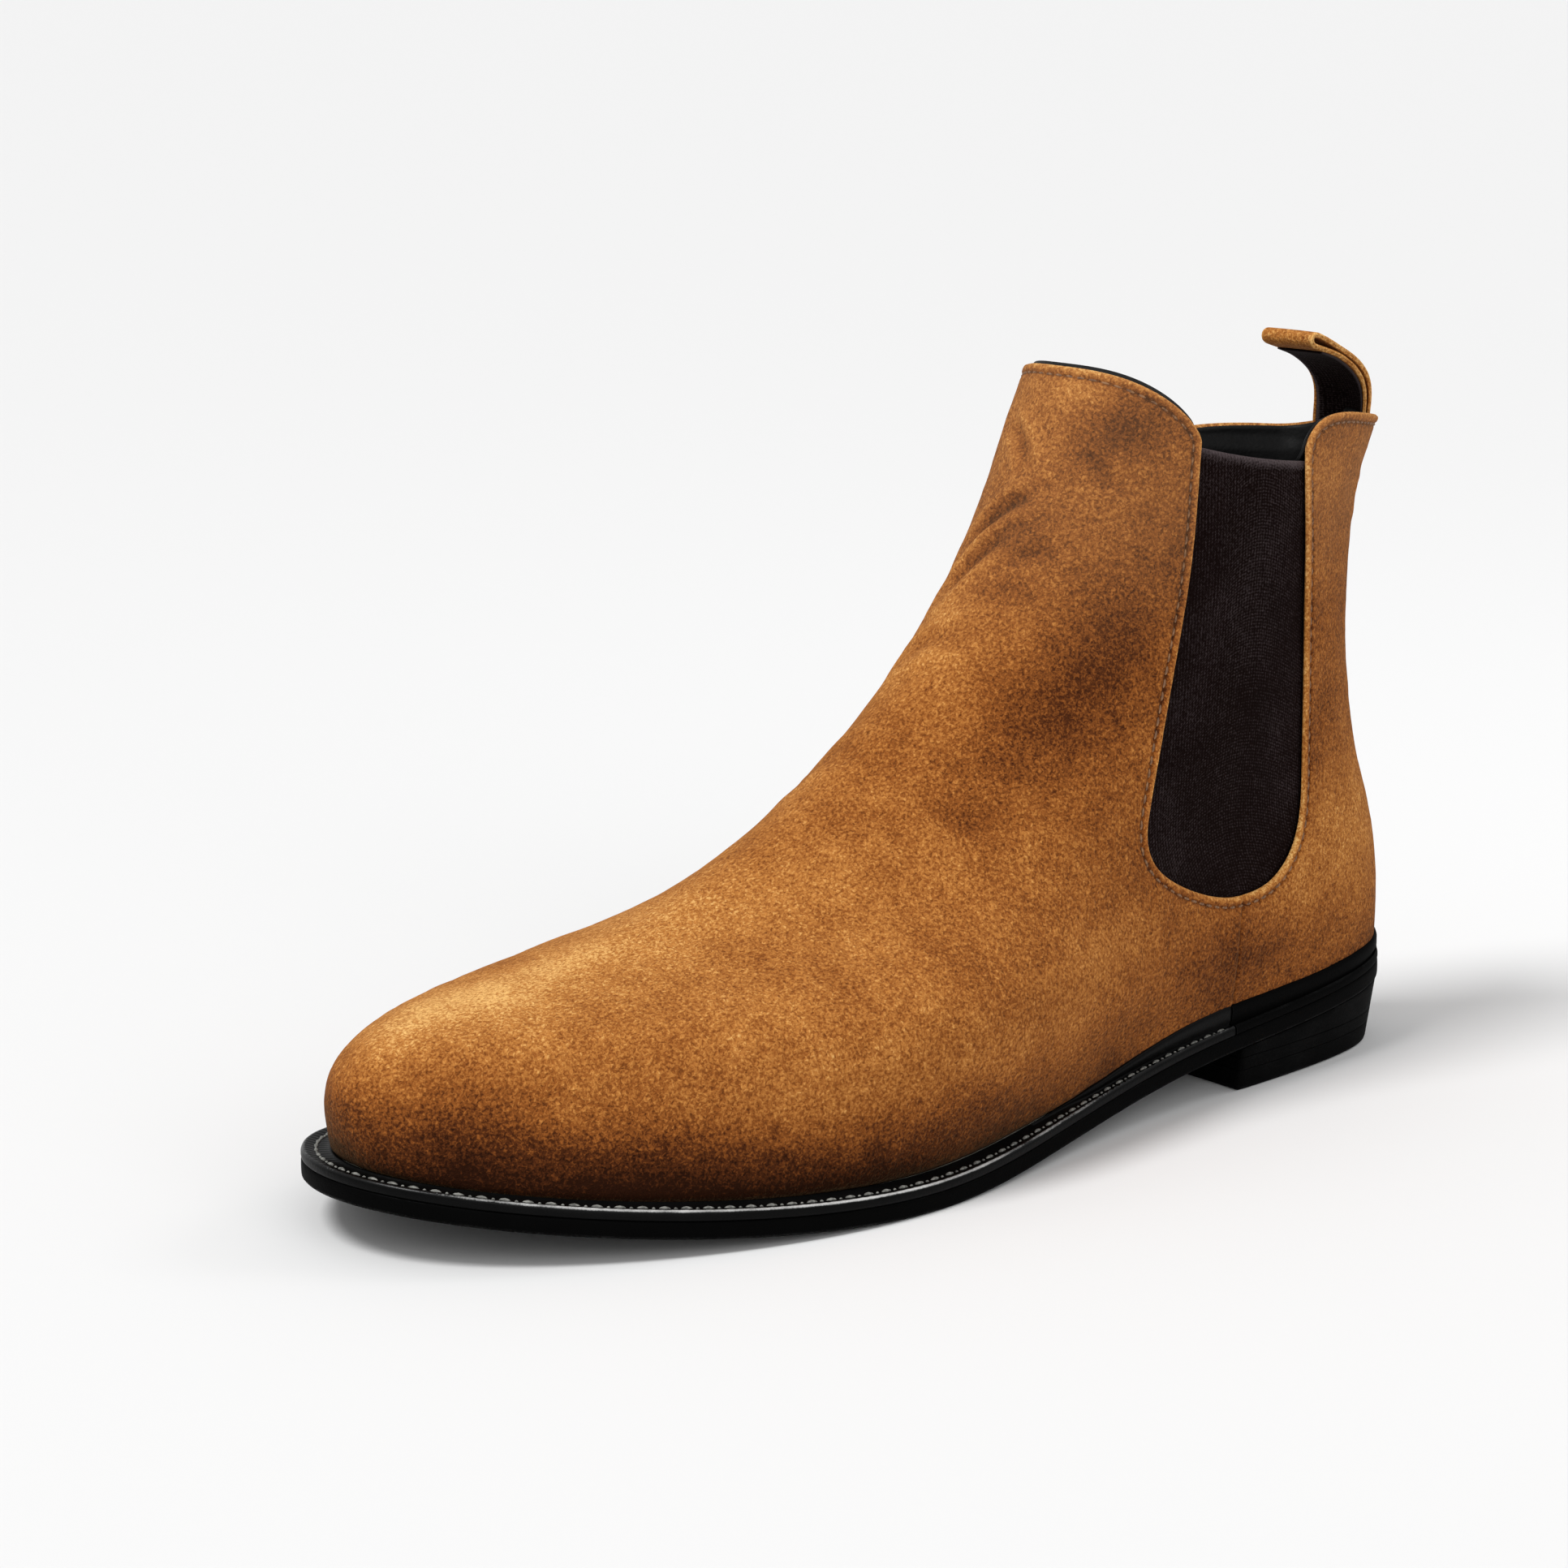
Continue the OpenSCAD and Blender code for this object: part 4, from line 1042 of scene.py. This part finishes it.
faces += [[i + len(points) for i in face] for face in dot_faces]
make("welt_stitch_row", np.concatenate([points, dots]), faces, WELT_THREAD, {}, ["welt_stitches"])

# ---- pull loop ----

# Centre line of the doubled strap, seen from the side: x and z.
STRAP_PATH = np.array([[-31, 149], [-31.3, 154], [-29.5, 159.5], [-24.5, 164.5], [-16.5, 169],
                       [-6.5, 172.5]], float)
STRAP_W, STRAP_T, RIBBON_T = 17.0, 1.2, 0.5
LEG_GAP = 0.45
FOLD_R = 0.75             # the fold at the strap's tip leaves a narrow eye
ROOT_BOW = 4.2            # the strap's root follows the round back of the boot


def path_at(t):
    n = len(STRAP_PATH) - 1
    ends = np.concatenate([[2 * STRAP_PATH[0] - STRAP_PATH[1]], STRAP_PATH,
                           [2 * STRAP_PATH[-1] - STRAP_PATH[-2]]])
    w = np.clip(t, 0, 1) * n
    i = np.minimum(np.floor(w).astype(int), n - 1)
    b = weights(w - i)
    point = sum(b[k][..., None] * ends[i + k] for k in range(4))
    return point + np.clip(t, None, 0)[..., None] * n * (STRAP_PATH[1] - STRAP_PATH[0]) * 0.8


def path_frame(t):
    d = unit(path_at(t + 0.01) - path_at(t - 0.01))
    return path_at(t), d, square_to(d)


def leg_offset(t):
    """Distance of each leg's middle from the path; the legs close up at the root."""
    gap = LEG_GAP * ease(-0.1, 0.3, t)
    return (gap + STRAP_T) / 2 + (FOLD_R - LEG_GAP / 2) * ease(0.74, 0.93, t)


def strap_line():
    """Middle line of the one strip: up the back leg, round the fold and down the front leg."""
    t = np.linspace(-0.22, 0.93, 60)
    middle, along, front = path_frame(t)
    apart = leg_offset(t)
    legs = [middle - front * apart[:, None], middle + front * apart[:, None]]
    a = np.linspace(np.pi, 0, 18)[1:-1]
    r = apart[-1]
    fold = (middle[-1] + along[-1] * (np.sin(a) * r * 1.25)[:, None]
            + front[-1] * (np.cos(a) * r)[:, None])
    return np.concatenate([legs[0], fold, legs[1][::-1]])


def strap_band(name, line, width, thick, material, marks_fn, replaces):
    """A strip of the given thickness along a line in the boot's middle plane."""
    cols = 36
    n = square_to(np.gradient(line, axis=0))
    y = spread(np.linspace(-1, 1, cols + 1)) * width / 2
    from_edge = width / 2 - abs(y)
    half = thick / 2
    fall = round_off(from_edge, half)
    k = np.arange(len(line))
    wave = 0.12 * np.sin(line[:, 1:] / 4.0 + y[None] / 7.0)
    bow = (0.5 + ROOT_BOW * (1 - ease(150, 167, line[:, 1:]))) * (2 * y[None] / STRAP_W) ** 2
    faces_of = []
    for way in (1, -1):
        off = way * (half - fall)[None]
        x = line[:, :1] + n[:, :1] * off + bow + wave
        z = line[:, 1:] + n[:, 1:] * off
        faces_of.append(np.stack([x, np.broadcast_to(y, x.shape), z], -1))
    points, faces = sheet(faces_of[1], faces_of[0], 1)
    edge = bell(from_edge, 0, 0.7)[None] + 0 * line[:, :1]
    marks = marks_fn(k[:, None] + 0 * y[None], y[None] + 0.0 * k[:, None], edge)
    marks = {key: both(value, 1) for key, value in marks.items()}
    piece = make(name, points, faces, material, marks, replaces, body=None)
    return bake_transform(piece)


def strap_marks(k, y, edge):
    # Lighter at the fold of the strap's tip, with a slow ripple in the nap's tone.
    tone = 0.35 * np.exp(-((k - 67) / 7.0) ** 2)
    return {"painted_light_and_tone": tone + 0.1 * np.sin(k / 5.0), "rim": edge, "groove": 0 * edge}


def ribbon_marks(k, y, edge):
    return {"fabric": np.stack([y, k * 0.5, 0 * k], -1), "rim": edge}


whole = strap_line()
strap_band("pull_loop_strap", whole, STRAP_W, STRAP_T, SUEDE_PALE, strap_marks,
           ["pull_loop", "pull_loop_anchor"])
t = np.linspace(-0.22, 0.86, 70)
middle, along, front = path_frame(t)
ribbon_line = middle + front * (leg_offset(t) + STRAP_T / 2 + RIBBON_T / 2 - 0.02)[:, None]
strap_band("pull_loop_ribbon_band", ribbon_line[::-1], STRAP_W - 1.8, RIBBON_T, ELASTIC,
           ribbon_marks, ["pull_loop_ribbon", "pull_loop_stitches"])

# ---- hidden nodes kept as they are ----

for node, material in (("insole", INSOLE), ("insole_rib", BOARD), ("cork_filler", CORK),
                       ("shank", STEEL), ("sock_lining", LINING), ("toe_puff", BOARD),
                       ("heel_counter", BOARD), ("heel_nails", STEEL),
                       ("top_piece_nails", BRASS), ("inseam_stitches", WELT_THREAD)):
    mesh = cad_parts[node].data
    mesh.materials.clear()
    mesh.materials.append(material)

# ---- stage, light and camera ----

FLOOR_SIZE = 60.0
ROOM_LIGHT, BACKDROP = 0.5, 0.9  # strength of the room's light, and of the backdrop as seen


def stage():
    mesh = bpy.data.meshes.new("floor")
    h = FLOOR_SIZE / 2
    mesh.from_pydata([(-h, -h, 0), (h, -h, 0), (h, h, 0), (-h, h, 0)], [], [(0, 1, 2, 3)])
    floor = bpy.data.objects.new("floor", mesh)
    COLLECTION.objects.link(floor)
    mesh.materials.append(Shader("floor").finish((0.805,) * 3, 0.9, Specular_IOR_Level=0.05))


def facing(azimuth, elevation):
    a, e = math.radians(azimuth), math.radians(elevation)
    return Vector((math.sin(a) * math.cos(e), -math.cos(a) * math.cos(e), math.sin(e)))


def lamp(name, kind, azimuth, elevation, energy, distance=0.0, **settings):
    """A sun, or a soft square lamp at a distance from the boot's middle."""
    data = bpy.data.lights.new(name, kind)
    data.energy = energy
    for key, value in settings.items():
        setattr(data, key, value)
    o = bpy.data.objects.new(name, data)
    towards = facing(azimuth, elevation)
    o.location = (CAD_BOX[0] + CAD_BOX[1]) / 2 + towards * distance
    o.rotation_euler = towards.to_track_quat("Z", "Y").to_euler()
    COLLECTION.objects.link(o)


def lights():
    world = bpy.context.scene.world or bpy.data.worlds.new("world")
    bpy.context.scene.world = world
    world.use_nodes = True
    tree = world.node_tree
    tree.nodes.clear()
    chosen = tree.nodes.new("ShaderNodeMixShader")
    path = tree.nodes.new("ShaderNodeLightPath")
    tree.links.new(path.outputs["Is Camera Ray"], chosen.inputs[0])
    for k, strength in enumerate((ROOM_LIGHT, BACKDROP), 1):
        node = tree.nodes.new("ShaderNodeBackground")
        node.inputs[0].default_value = (1, 1, 1, 1)
        node.inputs[1].default_value = strength
        tree.links.new(node.outputs[0], chosen.inputs[k])
    tree.links.new(chosen.outputs[0], tree.nodes.new("ShaderNodeOutputWorld").inputs[0])
    lamp("key", "SUN", 84, 60, 1.95, angle=math.radians(20))
    lamp("fill", "SUN", 165, 24, 0.75, angle=math.radians(45))
    lamp("strip", "AREA", 75, 28, 0.75, 1.3, size=0.7)
    lamp("rim", "AREA", 250, 46, 0.9, 1.0, size=0.3)


# The camera: a direction, a distance, a focal length and how far off-centre it aims.
VIEW_AZ, VIEW_EL, VIEW_DISTANCE = 138.96, 12.72, 1.013
VIEW_TARGET = Vector((0.110, 0.0, 0.060))
FOCAL_SHARE = 5500 / 1932  # focal length over the picture's width
AIM_LEFT, AIM_UP = 0.02915, 0.01830


def camera():
    data = bpy.data.cameras.new("camera")
    data.lens = data.sensor_width * FOCAL_SHARE
    back, a = facing(VIEW_AZ, VIEW_EL), math.radians(VIEW_AZ)
    right = Vector((math.cos(a), math.sin(a), 0))
    up = back.cross(right)
    forward = (-back - right * AIM_LEFT + up * AIM_UP).normalized()
    x = (right - forward * right.dot(forward)).normalized()
    y = x.cross(forward)
    o = bpy.data.objects.new("camera", data)
    turn = Matrix((x, y, -forward)).transposed().to_4x4()
    o.matrix_world = Matrix.Translation(VIEW_TARGET + back * VIEW_DISTANCE) @ turn
    COLLECTION.objects.link(o)
    bpy.context.scene.camera = o


stage()
lights()
camera()
bpy.context.scene.view_settings.view_transform = "Standard"
